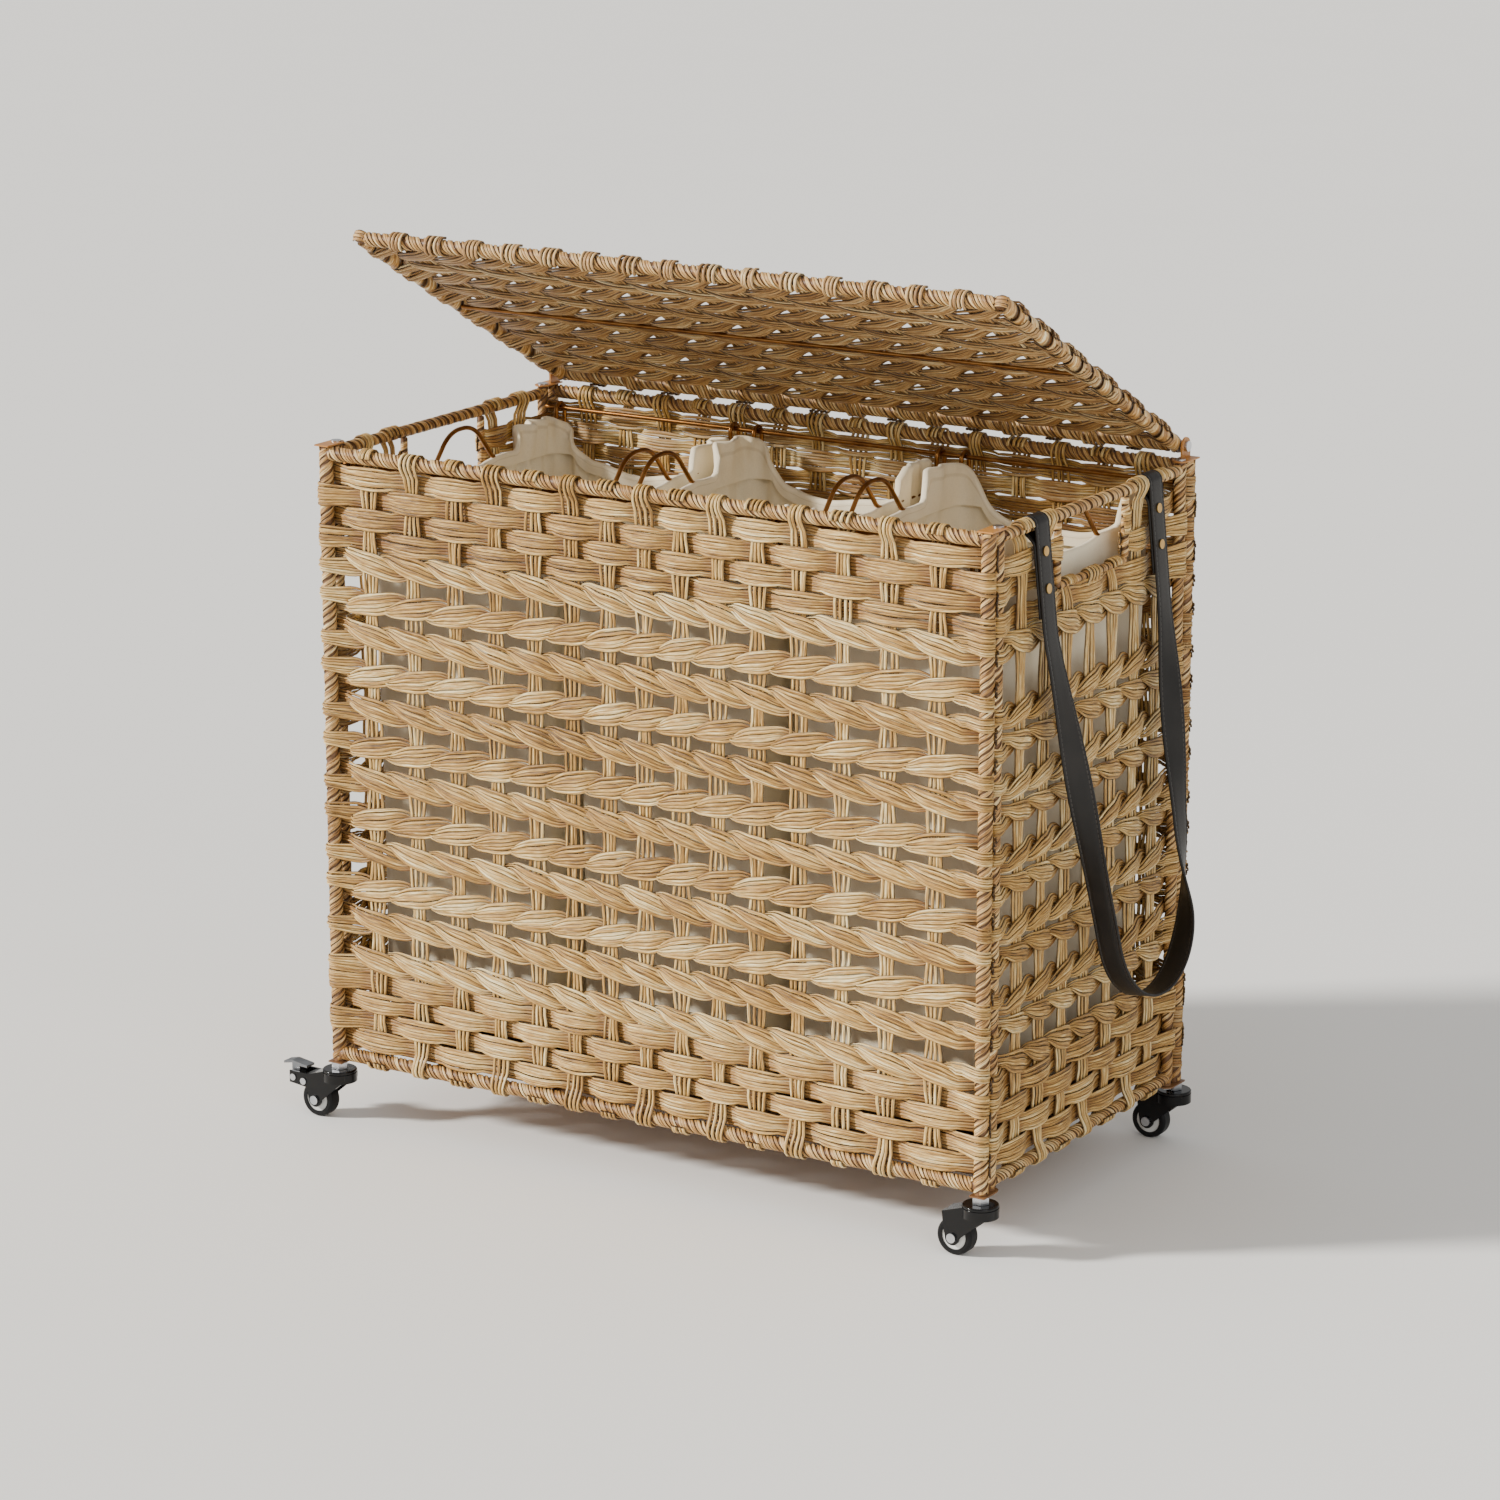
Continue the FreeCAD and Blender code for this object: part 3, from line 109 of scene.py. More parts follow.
class Recipe:
    """A material that is made with a few named steps."""

    def __init__(self, name):
        self.material = bpy.data.materials.new(name)
        self.material.use_nodes = True
        self.tree = self.material.node_tree
        self.shader = self.tree.nodes["Principled BSDF"]

    def feed(self, socket, value):
        if isinstance(value, Value):
            self.tree.links.new(value.socket, socket)
        else:
            socket.default_value = value

    def node(self, kind, settings=None, inputs=None, output=0):
        """Adds a node: its settings first, then what its sockets hold."""
        made = self.tree.nodes.new(kind)
        for name, value in (settings or {}).items():
            if name == "stops":
                self.set_stops(made.color_ramp, value)
            else:
                setattr(made, name, value)
        for key, value in (inputs or {}).items():
            self.feed(made.inputs[key], value)
        return Value(self, made.outputs[output])

    @staticmethod
    def set_stops(ramp, stops):
        while len(ramp.elements) < len(stops):
            ramp.elements.new(0.5)
        for element, (place, colour) in zip(ramp.elements, stops):
            element.position = place
            element.color = (*colour, 1)

    def place(self):
        """Where a point is on the object."""
        return self.node("ShaderNodeTexCoord", output="Object")

    def stretched(self, vector, scale):
        settings = {"operation": "MULTIPLY"}
        return self.node("ShaderNodeVectorMath", settings, {0: vector, 1: scale})

    def noise(self, vector, scale, detail=3.0, rough=0.55):
        inputs = {"Vector": vector, "Scale": scale, "Detail": detail, "Roughness": rough}
        return self.node("ShaderNodeTexNoise", {}, inputs)

    def ramp(self, value, *stops):
        return self.node("ShaderNodeValToRGB", {"stops": stops}, {0: value})

    def mix(self, share, first, second):
        """From the first colour to the second."""
        settings = {"data_type": "RGBA"}
        return self.node("ShaderNodeMix", settings, {0: share, 6: first, 7: second}, output=2)

    def bump(self, height, depth, strength):
        inputs = {"Height": height, "Distance": depth, "Strength": strength}
        return self.node("ShaderNodeBump", {}, inputs)

    def finish(self, **sockets):
        for name, value in sockets.items():
            self.feed(self.shader.inputs[name.replace("_", " ")], value)
        return self.material


def colour(red, green, blue):
    """A colour as it looks on a screen, 0 to 255, as the light that the shader needs."""
    shares = (red / 255, green / 255, blue / 255)
    return tuple(((s + 0.055) / 1.055) ** 2.4 if s > 0.04 else s / 12.92 for s in shares)


def rgba(*screen):
    return (*colour(*screen), 1)


# %% [markdown]
# ## Cane
# Each strand is a twisted, varnished strip of paper cane. Along it run fine fibres, some pale and
# some dark, and where two strands lie against each other their edges are darkened with painted
# shade. Strand meshes carry a UV map, length along and turn around, so the fibres follow every
# bend, and a tint of their own.


# %% The cane finishes
# Painted highlight: the colour of the brightest fibres stands in for glints of light.
GLINT = (252, 236, 186)
# Painted shade: strands turn this darker, warmer brown where they pass inside the basket, behind the
# stakes.
INNER_SHADE = (124, 76, 34)
# Painted shade: the dark colour laid on the strands' edges, in the crevices between strands.
CREVICE_SHADE = (40, 25, 10)


def cane(name, pale, middle, dark, inner_shade_share=0.55):
    """Varnished cane from three colours of its fibres, a painted highlight colour for the
    brightest fibres, and painted shade where strands pass inside and along their edges.
    """
    make = Recipe(name)
    along = make.node("ShaderNodeUVMap", {"uv_map": "Strand"})
    tint = make.node("ShaderNodeAttribute", {"attribute_name": "tint"}, output="Fac")
    inner = make.node("ShaderNodeAttribute", {"attribute_name": "inner"}, output="Fac")
    fibres = make.noise(make.stretched(along, (38, 11, 1)), 1.0, 4.0, 0.62)
    hairs = make.noise(make.stretched(along, (110, 30, 1)), 1.0, 2.0, 0.6)
    patches = make.noise(make.place(), 9.0, 2.0)
    around = make.node("ShaderNodeSeparateXYZ", {}, {0: along}, output="Y")
    # 1 on each strand's edges, 0 on its faces: where the painted crevice shade goes.
    side = (around * math.tau).wave() ** 5
    mixed = fibres * 1.25 + hairs * 0.7 + tint * 0.34 + patches * 0.3 - 0.79
    base = make.ramp(
        mixed,
        (0.18, colour(*dark)),
        (0.42, colour(*middle)),
        (0.60, colour(*pale)),
        (0.78, colour(*GLINT)),
    )
    # Painted shade: the more a strand lies inside, the more it takes of the inner shade colour.
    inside = make.mix(inner * inner_shade_share, base, rgba(*INNER_SHADE))
    # Painted shade: the strands' edges turn dark where they lie against each other.
    crevice_shaded = make.mix(side * 0.92, inside, rgba(*CREVICE_SHADE))
    height = fibres * 0.6 + hairs * 0.5 - side * 0.8
    return make.finish(
        Base_Color=crevice_shaded,
        Roughness=0.36 + fibres * 0.2,
        Normal=make.bump(height, 0.0007, 0.8),
        Specular_IOR_Level=0.45,
    )


WOVEN = cane("woven_cane", (216, 176, 102), (170, 124, 56), (60, 36, 12))
WOUND = cane("wound_cane", (216, 172, 106), (160, 112, 54), (60, 36, 14), 0.2)
LID_CANE = cane("lid_cane", (206, 164, 106), (160, 116, 66), (66, 42, 20), 0.1)

# %% [markdown]
# ## Strands
# A strand is a flat oval swept along a path. All strands of one piece go into one mesh: vertices,
# faces, the fibre UV, the tint and a second UV that lays the strands in rows, so that a bake has
# the same detail everywhere.

# %% A mesh of strands
SECTION = np.radians([0, 55, 125, 180, 235, 305])
RING = len(SECTION)


def unit(vectors):
    return vectors / np.maximum(np.linalg.norm(vectors, axis=-1, keepdims=True), 1e-12)


def slopes(path):
    """The direction of a path at each of its points."""
    return unit(np.gradient(path, axis=0))


class Strands:
    """Collects strands of one piece and makes its mesh."""

    def __init__(self, seed):
        self.random = np.random.default_rng(seed)
        self.grids = []
        self.lengths = []
        self.tints = []
        self.inner_shades = []

    def add(self, path, out, half_wide, half_thick, inner, tint):
        """One strand: out is the way its flat face looks, at each point of the path."""
        ahead = slopes(path)
        out = unit(out - ahead * (out * ahead).sum(1, keepdims=True))
        wide = np.cross(ahead, out)
        across = np.cos(SECTION)[None, :, None] * (np.ones(len(path)) * half_wide)[:, None, None]
        up = np.sin(SECTION)[None, :, None] * (np.ones(len(path)) * half_thick)[:, None, None]
        self.grids.append(path[:, None] + across * wide[:, None] + up * out[:, None])
        steps = np.linalg.norm(np.diff(path, axis=0), axis=1)
        self.lengths.append(np.concatenate([[0], np.cumsum(steps)]))
        self.tints.append(tint)
        self.inner_shades.append(np.ones(len(path)) * inner)

    def mesh(self, name, material):
        counts = np.array([len(grid) for grid in self.grids])
        starts = np.concatenate([[0], np.cumsum(counts * RING)])
        points = np.concatenate([grid.reshape(-1, 3) for grid in self.grids])
        quads, fibre, tape = [], [], []
        taped = 0.0
        for index, (start, count, length) in enumerate(zip(starts, counts, self.lengths)):
            row = start + RING * np.arange(count - 1)[:, None]
            here, after = np.arange(RING)[None], (np.arange(RING)[None] + 1) % RING
            quad = np.stack([row + here, row + after, row + RING + after, row + RING + here], -1)
            quads.append(quad.reshape(-1, 4))
            shift = self.random.random() * 60
            low = np.repeat(length[:-1, None], RING, 1)
            high = np.repeat(length[1:, None], RING, 1)
            first = np.repeat((np.arange(RING) / RING)[None], count - 1, 0)
            last = first + 1 / RING
            corners = [(low, first), (low, last), (high, last), (high, first)]
            fibre.append(np.stack([np.stack([u + shift, v], -1) for u, v in corners], 2).reshape(-1, 2))
            tape.append(np.stack([low.ravel() + taped, (high - low).ravel(), first.ravel()], -1))
            taped += length[-1]
        quads = np.concatenate(quads)
        caps = []
        for start, count in zip(starts, counts):
            last = start + RING * (count - 1)
            caps += [start + np.arange(RING)[::-1], last + np.arange(RING)]
        caps = np.array(caps)
        made = bpy.data.meshes.new(name)
        made.vertices.add(len(points))
        made.vertices.foreach_set("co", points.astype(np.float32).ravel())
        made.loops.add(quads.size + caps.size)
        corners = np.concatenate([quads.ravel(), caps.ravel()]).astype(np.int32)
        made.loops.foreach_set("vertex_index", corners)
        made.polygons.add(len(quads) + len(caps))
        face_starts = np.concatenate(
            [4 * np.arange(len(quads)), quads.size + RING * np.arange(len(caps))]
        )
        made.polygons.foreach_set("loop_start", face_starts.astype(np.int32))
        made.update(calc_edges=True)
        made.shade_smooth()
        self.add_uv(made, "OFBake", self.bake_rows(np.concatenate(tape), taped), caps.size)
        self.add_uv(made, "Strand", np.concatenate(fibre), caps.size)
        for layer, values in (
            ("tint", np.repeat(self.tints, counts * RING)),
            ("inner", np.repeat(np.concatenate(self.inner_shades), RING)),
        ):
            attribute = made.attributes.new(layer, "FLOAT", "POINT")
            attribute.data.foreach_set("value", values.astype(np.float32))
        made.materials.append(material)
        return link(name, made)

    @staticmethod
    def add_uv(made, name, quads, cap_corners):
        """A UV map: one place for each corner of the quads, and a speck for the caps."""
        layer = made.uv_layers.new(name=name)
        speck = np.full((cap_corners, 2), 0.001)
        layer.data.foreach_set("uv", np.concatenate([quads, speck]).astype(np.float32).ravel())

    def bake_rows(self, tape, total):
        """Lays the strands end to end on one tape, and the tape in rows in the unit square."""
        around = float(np.mean([strand_girth(grid) for grid in self.grids]))
        scale = math.sqrt(0.94 / (1.25 * total * around))
        high = 1.25 * around * scale
        row = np.floor(tape[:, 0] * scale / 0.97)
        left = tape[:, 0] * scale - row * 0.97 + 0.005
        right = np.minimum(left + tape[:, 1] * scale, 0.999)
        bottom = (row + 0.06 + tape[:, 2] * 0.85) * high
        top = bottom + high * 0.85 / RING
        corners = [(left, bottom), (left, top), (right, top), (right, bottom)]
        return np.stack([np.stack(pair, -1) for pair in corners], 1).reshape(-1, 2)


def strand_girth(grid):
    ring = grid[len(grid) // 2]
    return np.linalg.norm(ring - np.roll(ring, 1, axis=0), axis=1).sum()


def link(name, mesh):
    made = bpy.data.objects.new(name, mesh)
    bpy.context.scene.collection.objects.link(made)
    return made


# %% [markdown]
# ## Panels and their own frames
# Every woven panel, the lid too, is made lying in a frame of its own: x along its rails, y towards
# the inside of the basket, z up its posts. One set of functions then weaves them all.

# %% The panels' frames
MAIN_TUBE = 5 * MM
SIDE_TUBE = 4 * MM
WRAP = 1.25 * MM


class Panel:
    """A panel's own frame and size."""

    def __init__(self, origin, along, up, span, low, high, tube):
        self.origin = np.array(origin, float)
        along, up = np.array(along, float), np.array(up, float)
        self.axes = np.array([along, np.cross(up, along), up])
        self.span, self.low, self.high, self.tube = span, low, high, tube
        self.wrapped = tube + WRAP

    def put(self, x, y, z):
        """Places in the panel's frame, as places in the object's."""
        return self.origin + np.stack(np.broadcast_arrays(x, y, z), -1) @ self.axes

    def way(self, x, y, z):
        return np.stack(np.broadcast_arrays(x, y, z), -1) @ self.axes


front_low, front_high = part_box("front_frame")
left_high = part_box("left_frame")[1]
HALF_X = front_high.x - MAIN_TUBE
HALF_Y = -(front_low.y + MAIN_TUBE)
SIDE_Y = left_high.y - SIDE_TUBE
RAIL_LOW = front_low.z + 0.8 * MM + MAIN_TUBE + WRAP
RAIL_TOP = front_high.z - 0.2 * MM - MAIN_TUBE - WRAP
HINGE = next(joint for joint in frame["joints"] if joint["name"] == "lid_hinge")["pos_m"]
LID_OPEN = math.radians(28.5)
LID_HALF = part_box("lid_frame")[1].x - MAIN_TUBE
LID_DEEP = 2 * HALF_Y

tall = (RAIL_LOW, RAIL_TOP)
FRONT = Panel((-HALF_X, -HALF_Y, 0), (1, 0, 0), (0, 0, 1), 2 * HALF_X, *tall, MAIN_TUBE)
BACK = Panel((HALF_X, HALF_Y, 0), (-1, 0, 0), (0, 0, 1), 2 * HALF_X, *tall, MAIN_TUBE)
RIGHT = Panel((HALF_X, -SIDE_Y, 0), (0, 1, 0), (0, 0, 1), 2 * SIDE_Y, *tall, SIDE_TUBE)
LEFT = Panel((-HALF_X, SIDE_Y, 0), (0, -1, 0), (0, 0, 1), 2 * SIDE_Y, *tall, SIDE_TUBE)
lid_up = (0, -math.cos(LID_OPEN), math.sin(LID_OPEN))
LID = Panel((-LID_HALF, HINGE[1], HINGE[2]), (1, 0, 0), lid_up, 2 * LID_HALF, 0, LID_DEEP, MAIN_TUBE)
print("posts at", HALF_X, HALF_Y, "side posts at", SIDE_Y, "rails at", tall)

# %% [markdown]
# ## How a weaver runs
# A weaver passes the stakes on alternate sides. Over a stake it stays out for a while and it crosses
# over quickly in between, so its wave is a flattened cosine. At each end it turns round a post,
# and a stake turns round a rail, by so many degrees.


# %% A weaver's path
ROUND_POST = 100
ROUND_RAIL = 205


def end_turn(radius, reach, sweep):
    """From the panel to a tube at the origin and round it. Gives places towards the panel and
    sideways, and the share of the way that is done."""
    touch = math.acos(min(1.0, radius / reach))
    start = np.array([reach, 0.0])
    tangent = radius * np.array([math.cos(touch), math.sin(touch)])
    line = [start + (tangent - start) * share for share in (0.25, 0.5, 0.75)]
    angles = touch + np.linspace(0, math.radians(sweep), max(4, round(sweep / 26)))
    arc = radius * np.stack([np.cos(angles), np.sin(angles)], -1)
    places = np.concatenate([np.array(line), arc])
    outward = np.concatenate([np.tile(arc[0] / radius, (3, 1)), arc / radius])
    done = np.concatenate([[0.25, 0.5, 0.75], np.ones(len(arc))])
    return places, outward, done


class Run:
    """A weaver's middle line in a panel: places along (x) and through (y), which way its face
    looks, its turn (0 on a stake's front, half a turn on its back) and how far its ends are done.
    early is by how much of a turn it comes out and goes in before the middle between two stakes,
    and with a bias it stays longer in front than behind."""

    def __init__(self, stops, phase, swing, flat, samples, radii, early=0.0, bias=0.0):
        xs, turns = [], []
        last = len(stops) - 2
        for index, (left, right) in enumerate(zip(stops, stops[1:])):
            shares = np.arange(samples) / samples
            if index == 0:
                shares = shares[shares > 0.49]
            if index == last:
                shares = np.append(shares[shares < 0.49], 0.5)
            xs.append(left + (right - left) * shares)
            turns.append(math.pi * (index + phase + shares))
        xs, turns = np.concatenate(xs), np.concatenate(turns)
        ys = -swing * np.tanh(flat * (np.cos(turns + early) + bias)) / math.tanh(flat * (1 + bias))
        ends = []
        for stop, inward, turn, radius, reach in (
            (stops[0], 1, math.pi * phase, radii[0], (stops[1] - stops[0]) / 2),
            (stops[-1], -1, math.pi * (phase + last + 1), radii[1], (stops[-1] - stops[-2]) / 2),
        ):
            side = -math.copysign(1, math.cos(turn))
            places, outward, done = end_turn(radius, reach, ROUND_POST)
            looks = np.stack([inward * outward[:, 0], side * outward[:, 1]], -1) * -side
            ends.append((stop + inward * places[:, 0], side * places[:, 1], looks, done))
        (x0, y0, n0, d0), (x1, y1, n1, d1) = ends
        middle = np.tile([0.0, -1.0], (len(xs), 1))
        self.x = np.concatenate([x0[::-1], xs, x1])
        self.y = np.concatenate([y0[::-1], ys, y1])
        self.looks = np.concatenate([n0[::-1], middle, n1])
        self.done = np.concatenate([d0[::-1], np.zeros(len(xs)), d1])
        head = np.full(len(d0), turns[0])
        foot = np.full(len(d1), turns[-1])
        self.turn = np.concatenate([head, turns, foot])


def wobble(random, count, size, waves):
    """A smooth random drift along a strand."""
    knots = random.normal(0, size, max(3, waves))
    return np.interp(np.linspace(0, len(knots) - 1, count), np.arange(len(knots)), knots)


def ribbon(strands, panel, run, z, spread, count, thick, bunch, rough, camber):
    """Strands side by side along a run: z is the run's height and spread half the ribbon's width.
    Where it is narrow its strands bunch up in depth; camber is how far its edges curve back."""
    random = strands.random
    middle = panel.put(run.x, run.y, z)
    out = panel.way(run.looks[:, 0], run.looks[:, 1], 0.0)
    ahead = slopes(middle)
    out = unit(out - ahead * (out * ahead).sum(1, keepdims=True))
    wide = np.cross(ahead, out)
    # How far each point lies inside, behind the stakes: how much painted shade the strand gets there.
    inner = np.clip((run.y + 0.2 * MM) / (2.4 * MM), 0, 1)
    open_share = spread / spread.max()
    shade = random.random() * 0.4
    waves = max(4, len(run.x) // 12)
    for index in range(count):
        place = (index - (count - 1) / 2) * 2 / count
        depth = bunch * (1 - open_share) * (1 if index % 2 else -1) - camber * place**2 * open_share
        depth = depth + wobble(random, len(z), rough * 0.5, waves)
        shift = place * spread + wobble(random, len(z), rough, waves) * open_share
        path = middle + wide * shift[:, None] + out * depth[:, None]
        half = spread / count * (1.02 + 0.14 * random.random())
        tint = shade + 0.6 * random.random()
        strands.add(path, out, half, thick * (0.9 + 0.25 * random.random()), inner, tint)


# %% [markdown]
# ## Rows
# A plain row is one broad bundle. A twined row is two bundles that change sides between every two
# stakes and pass over each other there, so each shows as a slanted leaf. Where two twined rows lie
# close together they slant against each other, like an ear of wheat.

# %% Plain and twined rows
PLAIN_HALF = 9.7 * MM
LEAF_HALF = 9.8 * MM
FIRST_ROW = 16.7 * MM
ROW_PITCH = 17.8 * MM
TWINE_FIRST = 90 * MM
PAIR_PITCH = 61 * MM


def plain_row(strands, panel, stops, phase, middle, radii):
    """One broad bundle of seven strands over and under the stakes, which flares at its ends."""
    run = Run(stops, phase, 3.3 * MM, 1.2, 8, [radius + 0.9 * MM for radius in radii])
    out = np.abs(np.cos(run.turn))
    spread = PLAIN_HALF * (0.82 + 0.18 * out**0.7) * (1 + 0.22 * run.done)
    z = middle + wobble(strands.random, len(run.x), 0.45 * MM, 7)
    ribbon(strands, panel, run, z, spread, 7, 1.0 * MM, 0.35 * MM, 0.36 * MM, 0.7 * MM)


def leaf_profile(turn):
    """How broad a twined weaver is: it comes out as a narrow tip, is broad over the stake, and
    stays fairly broad where the next leaf covers it."""
    tip, end = -2.1, 2.1
    turn = np.mod(turn - tip, math.tau) + tip
    share = np.clip((turn - tip) / (end - tip), 0, 1)
    shown = 0.22 + 0.78 * np.sin(0.84 * math.pi * share) ** 0.75
    behind = np.clip((turn - end) / (math.tau - end + tip), 0, 1)
    return shown + (0.22 - shown) * behind


def twined_row(strands, panel, stops, phase, middle, radii, slant, lift=6.0 * MM, leaf=LEAF_HALF):
    """Two bundles round each stake. slant is 1 where the leaves rise along the panel. Each is
    longer in front than behind, so a leaf's tip lies over the end of the one before it."""
    for other in (0, 1):
        reach = [radius + 1.0 * MM for radius in radii]
        run = Run(stops, phase + other, 3.9 * MM, 1.0, 10, reach, 0.34, 0.3)
        drift = slant * lift * (np.sin(run.turn) - 0.3 * np.sin(2 * run.turn))
        settled = np.sign(drift + 1e-9) * 5.0 * MM
        drift = drift + (settled - drift) * run.done
        spread = leaf * leaf_profile(run.turn)
        spread = spread + (6.0 * MM - spread) * run.done
        z = middle + drift + wobble(strands.random, len(run.x), 0.7 * MM, 8)
        ribbon(strands, panel, run, z, spread, 6, 1.0 * MM, 1.1 * MM, 0.3 * MM, 2.4 * MM)


def plain_heights(count):
    return [FIRST_ROW + index * ROW_PITCH for index in range(count)]


def pair_middles(low, high):
    count = max(1, round((high - low) / PAIR_PITCH))
    return [low + (high - low) / count * (index + 0.5) for index in range(count)]


# %% [markdown]
# ## Stakes
# A stake is four strands side by side. It gives way a little to each plain row that passes it, and
# it turns right over the rail at each end, from the front or from behind.


# %% Stakes
def stake(strands, panel, x, low, high, in_front, pushes, radii):
    """Four strands up a panel. in_front says on which side it passes the first rows; pushes are
    the heights of plain rows with the side that each passes on."""
    random = strands.random
    ends = []
    for level, inward, radius in ((low, 1, radii[0]), (high, -1, radii[1])):
        places, outward, _ = end_turn(radius + 1.2 * MM, 15 * MM, ROUND_RAIL)
        side = -1 if in_front else 1
        looks = np.stack([side * outward[:, 1], inward * outward[:, 0]], -1) * -side
        ends.append((level + inward * places[:, 0], side * places[:, 1], looks))
    (z0, y0, n0), (z1, y1, n1) = ends
    z = np.arange(low + 18 * MM, high - 17.9 * MM, 8.9 * MM)
    y = np.zeros(len(z))
    for height, side in pushes:
        y = y + side * 0.8 * MM * np.exp(-(((z - height) / (6 * MM)) ** 2))
    middle = np.tile([-1.0, 0.0], (len(z), 1))
    z = np.concatenate([z0[::-1], z, z1])
    y = np.concatenate([y0[::-1], y, y1])
    looks = np.concatenate([n0[::-1], middle, n1])
    out = panel.way(0.0, looks[:, 0], looks[:, 1])
    pinch = 0.14 + 0.12 * random.random()
    for index in range(4):
        away = (index - 1.5) * 4.2 * MM
        drift = wobble(random, len(z), 0.5 * MM, 9)
        lean = 0.96 - pinch * np.sin((z - low) * 88 + x * 90)
        path = panel.put(x + away * lean + drift, y + wobble(random, len(z), 0.2 * MM, 9), z)
        tint = 0.25 + 0.6 * random.random()
        strands.add(path, out, (1.45 + 0.3 * random.random()) * MM, 1.3 * MM, 0.0, tint)


# %% [markdown]
# ## Winding
# Tubes are hidden under strips that are wound round them, narrow on the long rails and wide on the
# posts. The seam between turns shows as a dark slanting line: a narrow gap between strips, and
# painted shade on their edges.


# %% Wound strips
TURN_STEPS = 14
STRIP_HALF_SHARE = 0.46


def wind(strands, panel, start, axis, length, tube, strips, pitch, wrap=WRAP):
    """Winds strips side by side round a tube that starts at a place and runs along x or z of the
    panel. pitch is how far one turn of a strip takes it."""
    random = strands.random
    turns = length / pitch
    steps = max(8, round(turns * TURN_STEPS))
    knots = int(turns) + 3
    thick = 0.62 * MM
    lean = math.cos(math.atan2(pitch, math.tau * tube))
    half = pitch / strips * lean * STRIP_HALF_SHARE
    x, y, z = start
    for strip in range(strips):
        angle = np.linspace(0, math.tau * turns, steps) - math.tau * strip / strips
        drift = np.interp(angle / math.tau, np.arange(knots), random.normal(0, 0.04 * pitch, knots))
        along = np.clip(length * np.linspace(0, 1, steps) + drift, half, length - half)
        sunk = thick * (1.0 + 0.3 * random.random())
        radius = tube + wrap - sunk + wobble(random, steps, 0.06 * MM, knots)
        side, over = radius * np.cos(angle), radius * np.sin(angle)
        if axis == "x":
            path = panel.put(x + along, y + side, z + over)
            out = panel.way(0.0, np.cos(angle), np.sin(angle))
        else:
            path = panel.put(x + side, y + over, z + along)
            out = panel.way(np.cos(angle), np.sin(angle), 0.0)
        strands.add(path, out, half, thick, 0.0, 0.2 + 0.6 * random.random())


def wind_panel(strands, panel, rails, posts):
    """Winds a panel's rails and posts; rails and posts are each (strips, pitch)."""
    edge = panel.tube
    for level, (strips, pitch) in zip((panel.low, panel.high), rails):
        wind(strands, panel, (edge, 0, level), "x", panel.span - 2 * edge, edge, strips, pitch)
    foot = panel.low - panel.wrapped
    for x in (0, panel.span):
        tall = panel.high + panel.wrapped - foot
        wind(strands, panel, (x, 0, foot), "z", tall, edge, *posts)


def show(strands, name, material, body, slot, *nodes):
    """Makes the mesh of some strands, which rides on a body and may stand for CAD nodes."""
    made = strands.mesh(name, material)
    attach(made, body)
    if nodes:
        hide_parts(*nodes)
    print(name, len(made.data.polygons), "faces")
    return made


# %% [markdown]
# ## The long panels
# Four plain rows by each rail, a single twined row next to them, and pairs of twined rows between.


# %% Long panels
RAIL_TURNS = (7, 26 * MM)
POST_TURNS = (5, 26 * MM)
CROWDING = 12.4 * MM
STAKE_SPACE = 40 * MM
PAIR_ROOM, PAIR_APART, RISING_LIFT = 17.5 * MM, 14 * MM, 4.2 * MM


def stops_of(panel, crowding=0.0):
    """Where the posts and stakes stand. Crowding moves the stakes towards the panel's middle."""
    spaces = max(2, 2 * round(panel.span / STAKE_SPACE / 2))
    shares = np.arange(spaces + 1) / spaces
    return list(panel.span * shares + crowding * np.sin(math.tau * shares))


def stake_pushes(rows, index):
    """How each plain row pushes a stake: inwards where the row passes its front."""
    return [(z, 1 if (index + phase) % 2 == 0 else -1) for z, phase in rows]


def long_panel(name, panel, seed, crowding):
    stops = stops_of(panel, crowding)
    radii = (panel.wrapped, panel.wrapped)
    plain, lower, upper, stakes, winding = [Strands(seed + index) for index in range(5)]
    rows = []
    for index, away in enumerate(plain_heights(4)):
        for middle in (panel.high - away, panel.low + away):
            plain_row(plain, panel, stops, 1 + index, middle, radii)
            rows.append((middle, 1 + index))
    edge = TWINE_FIRST
    twined_row(upper, panel, stops, 0, panel.high - edge, radii, -1)
    twined_row(lower, panel, stops, 0, panel.low + edge, radii, -1)
    room = edge + PAIR_ROOM
    for middle in pair_middles(panel.low + room, panel.high - room):
        twined = upper if middle > (panel.low + panel.high) / 2 else lower
        twined_row(twined, panel, stops, 1, middle + PAIR_APART, radii, 1, RISING_LIFT)
        twined_row(twined, panel, stops, 0, middle - PAIR_APART, radii, -1)
    for index, x in enumerate(stops[1:-1], start=1):
        pushes = stake_pushes(rows, index)
        stake(stakes, panel, x, panel.low, panel.high, index % 2 == 0, pushes, radii)
    wind_panel(winding, panel, (RAIL_TURNS, RAIL_TURNS), POST_TURNS)
    show(plain, f"{name}_plain_rows", WOVEN, "basket", "cane_woven", f"{name}_weavers")
    show(lower, f"{name}_twined_rows_low", WOVEN, "basket", "cane_woven")
    show(upper, f"{name}_twined_rows_high", WOVEN, "basket", "cane_woven")
    show(stakes, f"{name}_stake_strands", WOVEN, "basket", "cane_woven", f"{name}_stakes")
    show(winding, f"{name}_winding", WOUND, "basket", "cane_wound", f"{name}_wrap")


long_panel("front", FRONT, 10, CROWDING)
long_panel("back", BACK, 20, 0)

# %% [markdown]
# ## The side panels
# Narrower, with a hand hole below the top rail. Two short rows stand on each side of the hole, and
# the rod that frames it is wound with cane too.

